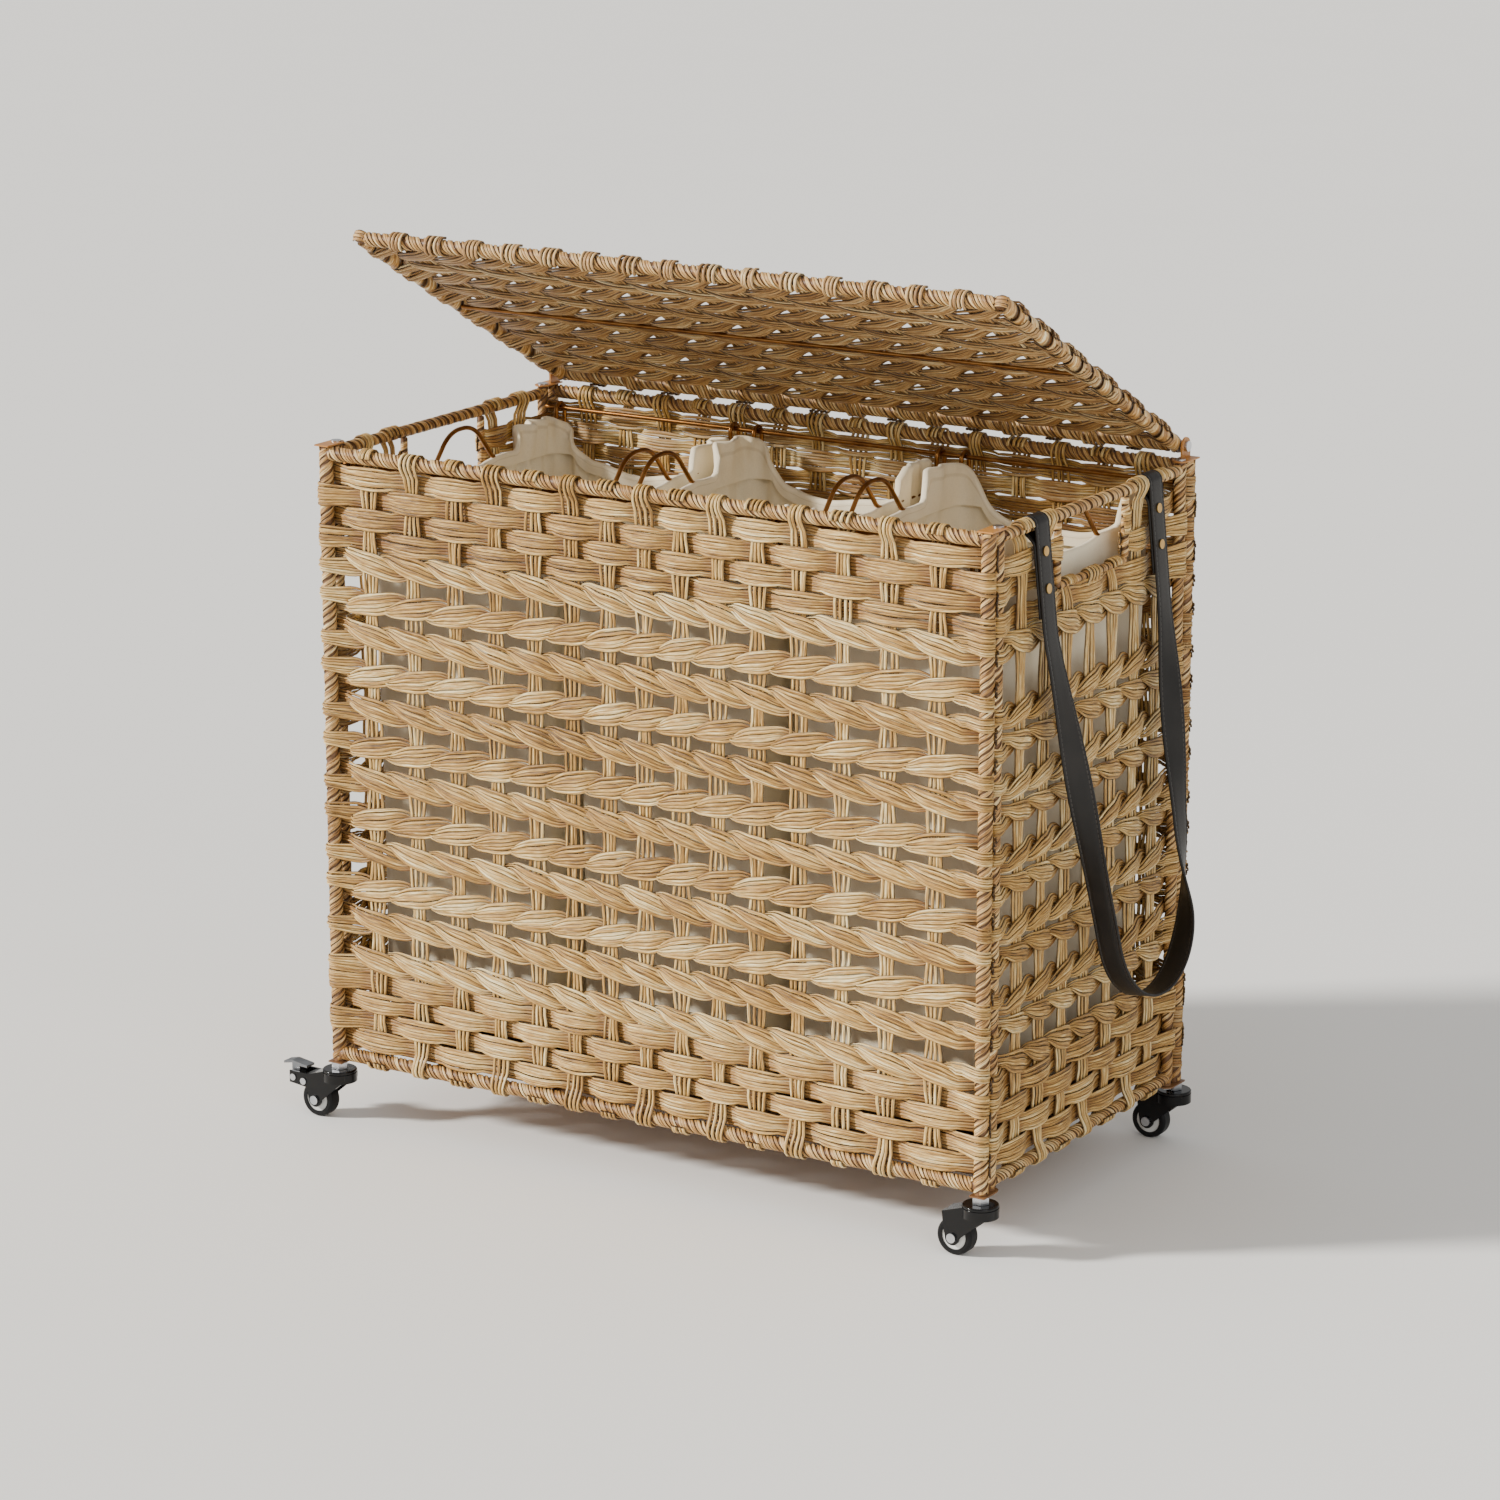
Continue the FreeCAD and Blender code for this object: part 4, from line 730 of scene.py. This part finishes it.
# %% Side panels
HANDLE_HALF = 57 * MM
HANDLE_DROP = 58 * MM
HANDLE_ROD = 2.5 * MM
HANDLE_WRAP = 0.9 * MM
FLANK_FIRST = 27 * MM
SIDE_RAIL_TURNS = (2, 18 * MM)
HANDLE_PITCH = 9 * MM
SIDE_ROOM_LOW, SIDE_ROOM_HIGH = 15 * MM, 40 * MM
SIDE_APART, SIDE_LIFT, SIDE_LEAF = 11 * MM, 5.0 * MM, 8.6 * MM


def wind_handle(strands, panel):
    """Winds the rod round the hand hole: its two legs and the bar between them."""
    middle, bar = panel.span / 2, panel.high - HANDLE_DROP
    leg = HANDLE_DROP - panel.wrapped
    for x in (middle - HANDLE_HALF, middle + HANDLE_HALF):
        wind(strands, panel, (x, 0, bar), "z", leg, HANDLE_ROD, 1, HANDLE_PITCH, HANDLE_WRAP)
    start = (middle - HANDLE_HALF, 0, bar)
    wind(strands, panel, start, "x", 2 * HANDLE_HALF, HANDLE_ROD, 1, HANDLE_PITCH, HANDLE_WRAP)


def side_panel(name, panel, seed):
    stops = stops_of(panel)
    radii = (panel.wrapped, panel.wrapped)
    rod = HANDLE_ROD + HANDLE_WRAP
    centre = panel.span / 2
    plain, twined, stakes, winding = [Strands(seed + index) for index in range(4)]
    rows = []
    for index, away in enumerate(plain_heights(4)):
        plain_row(plain, panel, stops, 1 + index, panel.low + away, radii)
        rows.append((panel.low + away, 1 + index))
    for index in (0, 1):
        middle = panel.high - FLANK_FIRST - index * ROW_PITCH
        left = stops[:3] + [centre - HANDLE_HALF]
        right = [centre + HANDLE_HALF] + stops[-3:]
        plain_row(plain, panel, left, 1 + index, middle, (panel.wrapped, rod))
        plain_row(plain, panel, right, index, middle, (rod, panel.wrapped))
        rows.append((middle, 1 + index))
    plain_row(plain, panel, stops, 0, panel.high - plain_heights(4)[3], radii)
    edge = TWINE_FIRST
    twined_row(twined, panel, stops, 0, panel.high - edge, radii, -1)
    twined_row(twined, panel, stops, 0, panel.low + edge, radii, -1)
    low, high = panel.low + edge + SIDE_ROOM_LOW, panel.high - edge - SIDE_ROOM_HIGH
    for middle in pair_middles(low, high):
        twined_row(twined, panel, stops, 1, middle + SIDE_APART, radii, 1, SIDE_LIFT, SIDE_LEAF)
        twined_row(twined, panel, stops, 0, middle - SIDE_APART, radii, -1, SIDE_LIFT, SIDE_LEAF)
    for index, x in enumerate(stops[1:-1], start=1):
        inside = abs(x - centre) < HANDLE_HALF
        high = panel.high - HANDLE_DROP if inside else panel.high
        head = rod if inside else panel.wrapped
        pushes = stake_pushes(rows, index)
        stake(stakes, panel, x, panel.low, high, index % 2 == 0, pushes, (panel.wrapped, head))
    wind_panel(winding, panel, (RAIL_TURNS, SIDE_RAIL_TURNS), POST_TURNS)
    wind_handle(winding, panel)
    show(plain, f"{name}_plain_rows", WOVEN, "basket", "cane_woven", f"{name}_weavers")
    show(twined, f"{name}_twined_rows", WOVEN, "basket", "cane_woven")
    show(stakes, f"{name}_stake_strands", WOVEN, "basket", "cane_woven", f"{name}_stakes")
    show(winding, f"{name}_winding", WOUND, "basket", "cane_wound", f"{name}_wrap")


side_panel("right", RIGHT, 30)
side_panel("left", LEFT, 40)

# %% [markdown]
# ## The lid
# Twined rows only, close together, so that light comes through in small slits. Its side tubes are
# wound with broad strips, and three strips close each tube's front end.

# %% Lid
LID_ROW = 28 * MM
LID_POST_TURNS = (1, 20 * MM)
LID_LIFT, LID_LEAF = 6.0 * MM, 9.0 * MM
END_STRIP, END_SINK, END_DOME = 3.1 * MM, 2.4 * MM, 3.4 * MM


def close_end(strands, panel, x):
    """Three strips laid over the front end of a side tube."""
    turn = np.linspace(0, math.pi, 9)
    for side in (-END_STRIP, 0.0, END_STRIP):
        reach = math.sqrt(panel.wrapped**2 - side**2) - 0.3 * MM
        over = panel.high + panel.wrapped - END_SINK + END_DOME * np.sin(turn)
        path = panel.put(x - reach * np.cos(turn), side + 0 * turn, over)
        out = panel.way(-np.cos(turn), 0 * turn, np.sin(turn))
        strands.add(path, out, 1.6 * MM, 0.6 * MM, 0.0, 0.5)


def lid(panel, seed):
    stops = stops_of(panel)
    radii = (panel.wrapped, panel.wrapped)
    back_rows, front_rows, stakes, winding = [Strands(seed + index) for index in range(4)]
    rows = max(2, round(panel.high / LID_ROW))
    for index in range(1, rows):
        slant = 1 if index % 2 else -1
        middle = panel.high / rows * index
        twined = front_rows if index > rows / 2 else back_rows
        twined_row(twined, panel, stops, index, middle, radii, slant, LID_LIFT, LID_LEAF)
    for index, x in enumerate(stops[1:-1], start=1):
        stake(stakes, panel, x, 0, panel.high, index % 2 == 0, [], radii)
    wind_panel(winding, panel, (RAIL_TURNS, RAIL_TURNS), LID_POST_TURNS)
    for x in (0, panel.span):
        close_end(winding, panel, x)
    show(back_rows, "lid_twined_rows_back", LID_CANE, "lid", "cane_woven", "lid_weavers")
    show(front_rows, "lid_twined_rows_front", LID_CANE, "lid", "cane_woven")
    show(stakes, "lid_stake_strands", LID_CANE, "lid", "cane_woven", "lid_stakes")
    show(winding, "lid_winding", WOUND, "lid", "cane_wound", "lid_wrap")


lid(LID, 50)

# %% [markdown]
# ## Metal, plastic and board
# These parts have the right shape in the model already, so they keep it and get their finishes:
# bronze wire, tan plates on the upper corners and brown ones below, bright zinc, black gloss forks
# and grey steel pedals.


# %% Finishes of the hard parts
METAL_GRAIN = 60.0


def metal(name, pale, dark, rough):
    """Metal with a faint cloud in its colour and its gloss."""
    make = Recipe(name)
    cloud = make.noise(make.place(), METAL_GRAIN, 3.0)
    fine = make.noise(make.place(), METAL_GRAIN * 12, 2.0)
    return make.finish(
        Base_Color=make.mix(cloud.step(0.3, 0.75), rgba(*pale), rgba(*dark)),
        Roughness=rough + cloud * 0.16 - fine * 0.06,
        Metallic=1.0,
        Normal=make.bump(fine, 0.0001, 0.4),
    )


def enamel(name, pale, dark, rough, shine=0.5, grain=90.0):
    """Paint or moulded plastic: a little uneven, with a fine skin."""
    make = Recipe(name)
    cloud = make.noise(make.place(), grain / 3, 3.0)
    skin = make.noise(make.place(), grain * 14, 2.0)
    return make.finish(
        Base_Color=make.mix(cloud.step(0.3, 0.7), rgba(*pale), rgba(*dark)),
        Roughness=rough + cloud * 0.12 - 0.04,
        Specular_IOR_Level=shine,
        Normal=make.bump(skin, 0.00006, 0.4),
    )


def board_finish():
    """Pressed board with pale and dark chips, stretched along the board."""
    make = Recipe("base_board")
    chips = make.noise(make.stretched(make.place(), (60, 160, 160)), 1.0, 4.0, 0.7)
    return make.finish(
        Base_Color=make.ramp(
            chips,
            (0.3, colour(96, 68, 44)),
            (0.5, colour(134, 100, 66)),
            (0.7, colour(164, 128, 88)),
        ),
        Roughness=0.62 + chips * 0.2,
        Normal=make.bump(chips, 0.0004, 0.5),
    )


BRONZE = metal("bronze_wire", (150, 104, 56), (112, 72, 36), 0.26)
TAN_PLATE = enamel("tan_plate", (190, 130, 60), (160, 104, 44), 0.36)
ZINC = metal("zinc", (206, 208, 212), (172, 176, 182), 0.24)
TUBE = enamel("brown_tube", (122, 84, 48), (98, 64, 34), 0.45)
BLACK = enamel("black_gloss", (14, 14, 15), (7, 7, 8), 0.14, 0.3)
GREY = metal("grey_steel", (138, 140, 144), (104, 107, 112), 0.34)
TYRE = enamel("tyre_rubber", (22, 22, 23), (12, 12, 13), 0.42, 0.2, 130.0)
HUB = enamel("hub_plastic", (228, 228, 224), (198, 198, 196), 0.34)
BRASS = metal("brass", (206, 170, 104), (172, 132, 72), 0.24)

FINISHES = {
    BRONZE: ["bag_rods", "lid_rod", "hangers_left", "hangers_middle", "hangers_right"],
    TAN_PLATE: ["front_corner_plates", "hinge_brackets"],
    ZINC: ["bracket_screws", "hinge_bolts", "caster_stems", "stem_nuts"],
    TUBE: ["base_bars", "bottom_corner_plates", "lid_frame", "left_handle_frame", "right_handle_frame"],
    BRASS: ["strap_rivets"],
    board_finish(): ["base_board"],
}
for side in ("front", "back", "left", "right"):
    FINISHES[TUBE].append(f"{side}_frame")
for corner in ("fl", "fr", "bl", "br"):
    FINISHES.setdefault(BLACK, []).append(f"fork_{corner}")
    FINISHES.setdefault(TYRE, []).append(f"tyre_{corner}")
    FINISHES.setdefault(HUB, []).append(f"hub_{corner}")
    FINISHES[ZINC].append(f"axle_{corner}")
for corner in ("fl", "bl"):
    FINISHES.setdefault(GREY, []).append(f"brake_pedal_{corner}")

for material, nodes in FINISHES.items():
    for node in nodes:
        shown = frame["nodes"][node]
        shown.data.materials.clear()
        shown.data.materials.append(material)
print("finishes on", sum(len(nodes) for nodes in FINISHES.values()), "nodes")

# %% [markdown]
# ## Bags
# Each bag is one sheet of cotton, sewn to an open box. Its rim is rolled over the hangers' wires at
# the two sides. Between the hangers the rim hangs slack, and at the corners the cloth is drawn up
# to the hooks. The sheet is laid as rows that go round the bag, from the hem inside the rim, over
# the roll and down to the floor of the bag.


# %% Cotton
def cotton():
    make = Recipe("cotton")
    cloth = make.node("ShaderNodeUVMap", {"uv_map": "Cloth"})
    threads = make.noise(make.stretched(cloth, (1500, 420, 1)), 1.0, 2.0)
    cross = make.noise(make.stretched(cloth, (420, 1500, 1)), 1.0, 2.0)
    cloud = make.noise(make.place(), 14.0, 3.0)
    weave = threads * 0.5 + cross * 0.5
    height = make.node("ShaderNodeSeparateXYZ", {}, {0: cloth}, output="Y")
    seam = 1 - (height - 0.013).absolute().step(0.0003, 0.0011)
    tone = make.mix(cloud.step(0.25, 0.75), rgba(240, 229, 203), rgba(228, 212, 180))
    shaded = make.mix(weave.step(0.35, 0.8) * 0.35, tone, rgba(206, 190, 158))
    return make.finish(
        Base_Color=make.mix(seam * 0.4, shaded, rgba(196, 178, 146)),
        Roughness=0.86 + weave * 0.1,
        Normal=make.bump(weave - seam * 0.8, 0.0005, 0.5),
        Sheen_Weight=0.15,
    )


COTTON = cotton()


# %% The bags' shape
def rounded_box(half_x, half_y, radius, steps):
    """Places round a box with round corners, with the way outwards and the length so far."""
    sides = (half_x - radius, half_y - radius)
    quarter = math.tau / 4 * radius
    spans = [2 * sides[1], quarter, 2 * sides[0], quarter] * 2
    total = sum(spans)
    places, ways = [], []
    for length in np.arange(steps) * total / steps:
        part = 0
        while length > spans[part]:
            length -= spans[part]
            part += 1
        heading = (part // 2) * math.tau / 4
        ahead = np.array([-math.sin(heading), math.cos(heading)])
        out = np.array([math.cos(heading), math.sin(heading)])
        reach = sides[(part // 2) % 2]
        across = sides[1 - (part // 2) % 2]
        if part % 2 == 0:
            places.append(out * (reach + radius) + ahead * (length - across))
            ways.append(out)
        else:
            bend = heading + length / radius
            way = np.array([math.cos(bend), math.sin(bend)])
            places.append(out * reach + ahead * across + way * radius)
            ways.append(way)
    return np.array(places), np.array(ways), np.arange(steps) * total / steps, total


def waves(random, along, total, count, size, spread):
    """Smooth soft folds round a bag: a few waves that close on themselves."""
    folds = np.zeros(len(along))
    for _ in range(count):
        number = random.integers(*spread)
        folds += random.normal(0, size) * np.sin(math.tau * number * along / total + random.random() * 6)
    return folds


HEM = 551 * MM
BAG_FLOOR = 93 * MM
ROLL = 3.0 * MM
HANGER_HALF = 92 * MM
EAR_HIGH = 24 * MM
SAG = 24 * MM
ARCH_HALF = 48 * MM
ARCH_DIP = 4 * MM
BAG_STEPS = 240
BAG_CORNER = 16 * MM
EAR_START, EAR_SLOPE, EAR_REACH = 80 * MM, 11 * MM, 24 * MM
FLAP_BELOW, FLAP_CLEAR = 9 * MM, 2.4 * MM
WIRE_REACH, WIRE_CLEAR = 9 * MM, 0.4 * MM
FLOOR_ROUND = 14 * MM


def bag(name, seed):
    low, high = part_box(f"liner_{name}")
    middle = (low.x + high.x) / 2
    half_y = high.y - ROLL - 0.6 * MM
    random = np.random.default_rng(seed)
    places, ways, along, total = rounded_box(HANGER_HALF, half_y, BAG_CORNER, BAG_STEPS)
    on_side = np.abs(ways[:, 0])
    hang = 1 - np.clip(np.abs(places[:, 0]) / HANGER_HALF, 0, 1) ** 2.2
    under = np.clip(1 - (places[:, 1] / ARCH_HALF) ** 4, 0, 1) * on_side
    beside = np.clip((np.abs(places[:, 1]) - EAR_START) / EAR_SLOPE, 0, 1)
    inset = HANGER_HALF - np.abs(places[:, 0])
    ear = beside**2 * (3 - 2 * beside) / (1 + (inset / EAR_REACH) ** 6)
    rim = HEM - SAG * hang * (1 - on_side) * (0.8 + 0.4 * random.random()) - ARCH_DIP * under
    rim = rim + EAR_HIGH * ear * (0.85 + 0.3 * random.random())
    rim = rim + waves(random, along, total, 5, 1.1 * MM, (5, 15)) * (1 - 0.7 * on_side)
    tucks = waves(random, along, total, 6, 1.1 * MM, (24, 56)) * (0.25 + 1.9 * ear)
    soft = waves(random, along, total, 6, 1.3 * MM, (3, 10))
    lean = waves(random, along, total, 5, 1.5 * MM, (2, 7))
    rows = []
    flap = rim - np.minimum(rim, HEM) + FLAP_BELOW
    for share in (1.0, 0.75, 0.5, 0.25):
        inside = places + ways * np.minimum(tucks * (1 - share) - ROLL, -FLAP_CLEAR)[:, None]
        rows.append((inside, rim - flap * share))
    for angle in np.radians(np.linspace(180, 0, 7)):
        over = places + ways * (ROLL * math.cos(angle) + tucks)[:, None]
        rows.append((over, rim + ROLL * math.sin(angle)))
    for share in np.linspace(0, 1, 46)[1:] ** 1.15:
        z = rim + (BAG_FLOOR + FLOOR_ROUND - rim) * share
        gathered = tucks * math.exp(-share * 5) + soft * (0.35 + share * 0.65) + lean * share * 0.6
        slack = -3.0 * MM * math.sin(math.pi * share) * on_side
        wire = np.exp(-(((z - HEM) / WIRE_REACH) ** 2)) * on_side
        gathered = np.maximum(gathered, -WIRE_CLEAR * wire + gathered * (1 - wire))
        body = places + ways * (ROLL * (1 - share) + gathered + slack)[:, None]
        body = body * (1 - 0.02 * share)
        rows.append((body, z + gathered * 0.2))
    edge, level = rows[-1]
    for share in np.linspace(0, 1, 5)[1:]:
        angle = share * math.tau / 4
        inward = FLOOR_ROUND * (1 - math.cos(angle))
        rows.append((edge - ways * inward, level - FLOOR_ROUND * math.sin(angle)))
    edge, level = rows[-1]
    for share in (0.85, 0.6, 0.3, 0.0):
        rows.append((edge * share, level + waves(random, along, total, 3, 0.5 * MM, (2, 6)) * share))
    grid = np.stack([np.column_stack([xy, z]) for xy, z in rows])
    grid[:, :, 0] += middle
    return sheet_of_rows(f"bag_{name}_cloth", grid, along, total)


def add_face(made, layer, corners, uvs):
    """A smooth face with a place on the UV map at each corner."""
    face = made.faces.new(corners)
    face.smooth = True
    for loop, uv in zip(face.loops, uvs):
        loop[layer].uv = uv


def settle(name, made):
    """Turns a finished sheet into an object."""
    bmesh.ops.recalc_face_normals(made, faces=made.faces)
    mesh = bpy.data.meshes.new(name)
    made.to_mesh(mesh)
    made.free()
    return link(name, mesh)


def sheet_of_rows(name, grid, along, total):
    """A cloth mesh from rows that go all the way round. Its last row is one point."""
    count, steps = grid.shape[:2]
    made = bmesh.new()
    cloth = made.loops.layers.uv.new("Cloth")
    points = [[made.verts.new(p) for p in row] for row in grid[:-1]]
    centre = made.verts.new(grid[-1].mean(0))
    down = np.concatenate([[0], np.cumsum(np.linalg.norm(np.diff(grid, axis=0), axis=2).mean(1))])
    for row in range(count - 1):
        for step in range(steps):
            after = (step + 1) % steps
            u0, u1 = along[step], along[step] + total / steps
            if row < count - 2:
                corners = [points[row][step], points[row + 1][step]]
                corners += [points[row + 1][after], points[row][after]]
                uvs = [(u0, down[row]), (u0, down[row + 1]), (u1, down[row + 1]), (u1, down[row])]
            else:
                corners = [points[row][step], centre, points[row][after]]
                uvs = [(u0, down[row]), (u0, down[row + 1]), (u1, down[row])]
            add_face(made, cloth, corners, uvs)
    return settle(name, made)


# %% The three bags
for number, name in enumerate(("left", "middle", "right")):
    cloth = bag(name, 60 + number)
    cloth.data.materials.append(COTTON)
    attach(cloth, f"bag_{name}")
    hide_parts(f"liner_{name}")

# %% [markdown]
# ## Strap
# A black belt, with both ends looped over the right rail. It is swept along its own line: up a
# tail that lies behind the belt, back round the rail's inner side and over it, down the outside
# while it turns through a quarter, and round the bottom of the U. Its edges are raised and
# stitched.


# %% Belt finish
def belt_finish():
    make = Recipe("black_belt")
    place = make.node("ShaderNodeUVMap", {"uv_map": "Strand"})
    along = make.node("ShaderNodeSeparateXYZ", {}, {0: place}, output="X")
    across = make.node("ShaderNodeSeparateXYZ", {}, {0: place}, output="Y")
    grain = make.noise(make.place(), 900.0, 3.0, 0.6)
    cloud = make.noise(make.place(), 30.0, 3.0)
    off = (across - 0.5).absolute()
    line = 1 - (off - 0.385).absolute().step(0.008, 0.03)
    stitch = (along * (math.pi / 0.0042)).wave().step(0.35, 0.6) * line
    tone = make.mix(cloud.step(0.3, 0.7), rgba(30, 27, 25), rgba(19, 17, 16))
    return make.finish(
        Base_Color=make.mix(stitch * 0.6, tone, rgba(72, 68, 64)),
        Roughness=0.36 + grain * 0.2,
        Specular_IOR_Level=0.32,
        Normal=make.bump(grain * 0.35 + stitch * 0.8 - line * 0.5, 0.0004, 0.7),
    )


# %% The belt's line and section
strap_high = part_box("strap")[1]
SLANT = math.radians(6)
OUTWARD = np.array([math.cos(SLANT), 0, math.sin(SLANT)])
DOWNWARD = np.array([math.sin(SLANT), 0, -math.cos(SLANT)])
ALONG = np.array([0, 1.0, 0])
BELT_THICK = 2.4 * MM
BELT_AWAY = SIDE_TUBE + WRAP + 0.4 * MM + BELT_THICK / 2
BELT_Y = SIDE_Y * 2 / 8 * 2.5
BELT_HALF = strap_high.y - BELT_Y
BELT_TAIL, BELT_FLAT, BELT_LOW, BELT_BEND = 75 * MM, 90 * MM, 414 * MM, 68 * MM
BELT_JOIN = 17 * MM


def eased(share):
    """From 0 to 1, slow at both ends."""
    return (1 - math.cos(math.pi * min(max(share, 0), 1))) / 2


def front_twist(down):
    return eased((down - BELT_FLAT) / (0.55 * BELT_LOW)) * math.pi / 2


def back_twist(down):
    forward = math.sin(math.pi * eased((down - BELT_FLAT) / (0.5 * BELT_LOW)))
    return eased((down - 0.68 * BELT_LOW) / (0.3 * BELT_LOW)) * math.pi / 2 - math.radians(34) * forward


def station(away, across, down, twist, turn):
    """A place on the belt, with the ways of its width and its thickness. turn is the line's way:
    0 downwards, a quarter along the rail, a half upwards."""
    place = np.array([HALF_X, 0, RAIL_TOP]) + OUTWARD * away + ALONG * across + DOWNWARD * down
    level = ALONG * math.cos(turn) - DOWNWARD * math.sin(turn)
    width = level * math.cos(twist) + OUTWARD * math.sin(twist)
    return place, width, OUTWARD * math.cos(twist) - level * math.sin(twist)


def end_loop(across):
    """A tail that lies behind the belt, swings back round the rail and turns over it."""
    made = []
    close = BELT_AWAY - BELT_THICK - 0.05 * MM
    for down in np.linspace(BELT_TAIL, BELT_JOIN, 7):
        made.append((*station(close, across, down, 0, 0)[:2], -OUTWARD))
    swing = (BELT_AWAY + close) / 2
    for share in np.linspace(0, 1, 11)[1:-1]:
        down = BELT_JOIN * (1 - share)
        away = swing * math.cos(math.pi * share) + close - swing
        tilt = -math.atan2(swing * math.pi * math.sin(math.pi * share), BELT_JOIN)
        place, width, _ = station(away, across, down, 0, 0)
        made.append((place, width, -OUTWARD * math.cos(tilt) - DOWNWARD * math.sin(tilt)))
    for angle in np.linspace(math.pi, 0, 13)[:-1]:
        away, up = BELT_AWAY * math.cos(angle), BELT_AWAY * math.sin(angle)
        place, width, _ = station(away, across, -up, 0, 0)
        made.append((place, width, OUTWARD * math.cos(angle) - DOWNWARD * math.sin(angle)))
    return made


def belt_stations():
    """The whole belt, from the front tail's end to the back tail's end."""
    middle, centre = BELT_Y - BELT_BEND, BELT_LOW - BELT_BEND
    reach = math.hypot(middle + BELT_Y, centre - BELT_FLAT)
    lean = math.atan2(middle + BELT_Y, centre - BELT_FLAT) - math.asin(BELT_BEND / reach)
    leg = math.sqrt(reach**2 - BELT_BEND**2)
    made = end_loop(-BELT_Y)
    made += [station(BELT_AWAY, -BELT_Y, down, 0, 0) for down in np.linspace(0, BELT_FLAT - 6 * MM, 9)]
    for run in np.linspace(6 * MM, leg, 27):
        down = BELT_FLAT + run * math.cos(lean)
        across = run * math.sin(lean) - BELT_Y
        made.append(station(BELT_AWAY, across, down, front_twist(down), lean))
    for turn in np.linspace(lean, math.pi, 33)[1:-1]:
        across = middle - BELT_BEND * math.cos(turn)
        down = centre + BELT_BEND * math.sin(turn)
        twist = front_twist(down) if turn < math.pi / 2 else back_twist(down)
        made.append(station(BELT_AWAY, across, down, twist, turn))
    for down in np.linspace(centre, 0, 36):
        made.append(station(BELT_AWAY, BELT_Y, down, back_twist(down), math.pi))
    back = [(place, -width, depth) for place, width, depth in end_loop(BELT_Y)[::-1]]
    return made + back


def belt():
    stations = belt_stations()
    thick = BELT_THICK / 2
    bead = [(1.0, 0.0), (0.965, 0.72), (0.90, 1.0), (0.82, 0.86)]
    bead += [(0.77, 0.66), (0.70, 0.84), (0.35, 0.92)]
    side = [(u * BELT_HALF, v * thick) for u, v in bead]
    top = side + [(-u, v) for u, v in side[::-1]]
    section = top + [(u, -v) for u, v in top[-2:0:-1]]
    grid = np.array([[p + w * u + d * v for u, v in section] for p, w, d in stations])
    steps = np.linalg.norm(np.diff(grid.mean(1), axis=0), axis=1)
    length = np.concatenate([[0], np.cumsum(steps)])
    made = bmesh.new()
    layer = made.loops.layers.uv.new("Strand")
    rings = [[made.verts.new(p) for p in ring] for ring in grid]
    count = len(section)
    width = [0.5 + u / BELT_HALF / 2 for u, v in section]
    for row in range(len(rings) - 1):
        for index in range(count):
            after = (index + 1) % count
            corners = [rings[row][index], rings[row][after], rings[row + 1][after], rings[row + 1][index]]
            uvs = [(length[row], width[index]), (length[row], width[after])]
            uvs += [(length[row + 1], width[after]), (length[row + 1], width[index])]
            add_face(made, layer, corners, uvs)
    for ring in (rings[0], rings[-1]):
        made.faces.new(ring)
    return settle("belt", made), length[-1]


strap, strap_length = belt()
strap.data.materials.append(belt_finish())
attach(strap, "strap")
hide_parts("strap")
2 * BELT_HALF
print("belt", round(strap_length, 3), "m long,", round(2 * BELT_HALF, 4), "m wide")

# %% [markdown]
# ## Camera, light and floor

# %% Camera
AZIMUTH, ELEVATION = math.radians(32.163), math.radians(14.879)
TARGET = Vector((-0.0043, 0, 0.3393))
LENS, DISTANCE = 117.13, 4.1455
back = Vector((
    math.sin(AZIMUTH) * math.cos(ELEVATION),
    -math.cos(AZIMUTH) * math.cos(ELEVATION),
    math.sin(ELEVATION),
))
right = Vector((math.cos(AZIMUTH), math.sin(AZIMUTH), 0))
camera_data = bpy.data.cameras.new("camera")
camera_data.lens = LENS
camera_data.sensor_width = 36
camera = link("camera", camera_data)
turn = Matrix((right, back.cross(right), back)).transposed()
camera.matrix_world = Matrix.Translation(TARGET + back * DISTANCE) @ turn.to_4x4()
bpy.context.scene.camera = camera

# %% Light and floor
world = bpy.data.worlds.new("studio")
world.use_nodes = True
world.node_tree.nodes["Background"].inputs["Color"].default_value = (1.0, 0.99, 0.975, 1)
world.node_tree.nodes["Background"].inputs["Strength"].default_value = 0.62
bpy.context.scene.world = world


def aimed(name, kind, place, **settings):
    """A lamp at a place, which looks at the basket's middle."""
    data = bpy.data.lights.new(name, kind)
    for key, value in settings.items():
        setattr(data, key, value)
    lamp = link(name, data)
    lamp.location = place
    lamp.rotation_euler = (Vector((0, 0, 0.35)) - Vector(place)).to_track_quat("-Z", "Y").to_euler()


aimed("key", "SUN", (-3.0, -2.3, 2.1), energy=6.2, angle=0.12, color=(1, 0.97, 0.92))
aimed("fill", "AREA", (2.6, -1.6, 1.5), energy=24, size=1.8, color=(1, 0.98, 0.95))

floor_recipe = Recipe("floor_paper")
grain = floor_recipe.noise(floor_recipe.place(), 3.0, 2.0)
floor_recipe.finish(
    Base_Color=floor_recipe.mix(grain * 0.3, rgba(244, 243, 240), rgba(236, 234, 230)),
    Roughness=0.9,
)
bpy.ops.mesh.primitive_grid_add(x_subdivisions=2, y_subdivisions=2, size=60)
floor = bpy.context.object
floor.name = "floor"
floor.data.materials.append(floor_recipe.material)
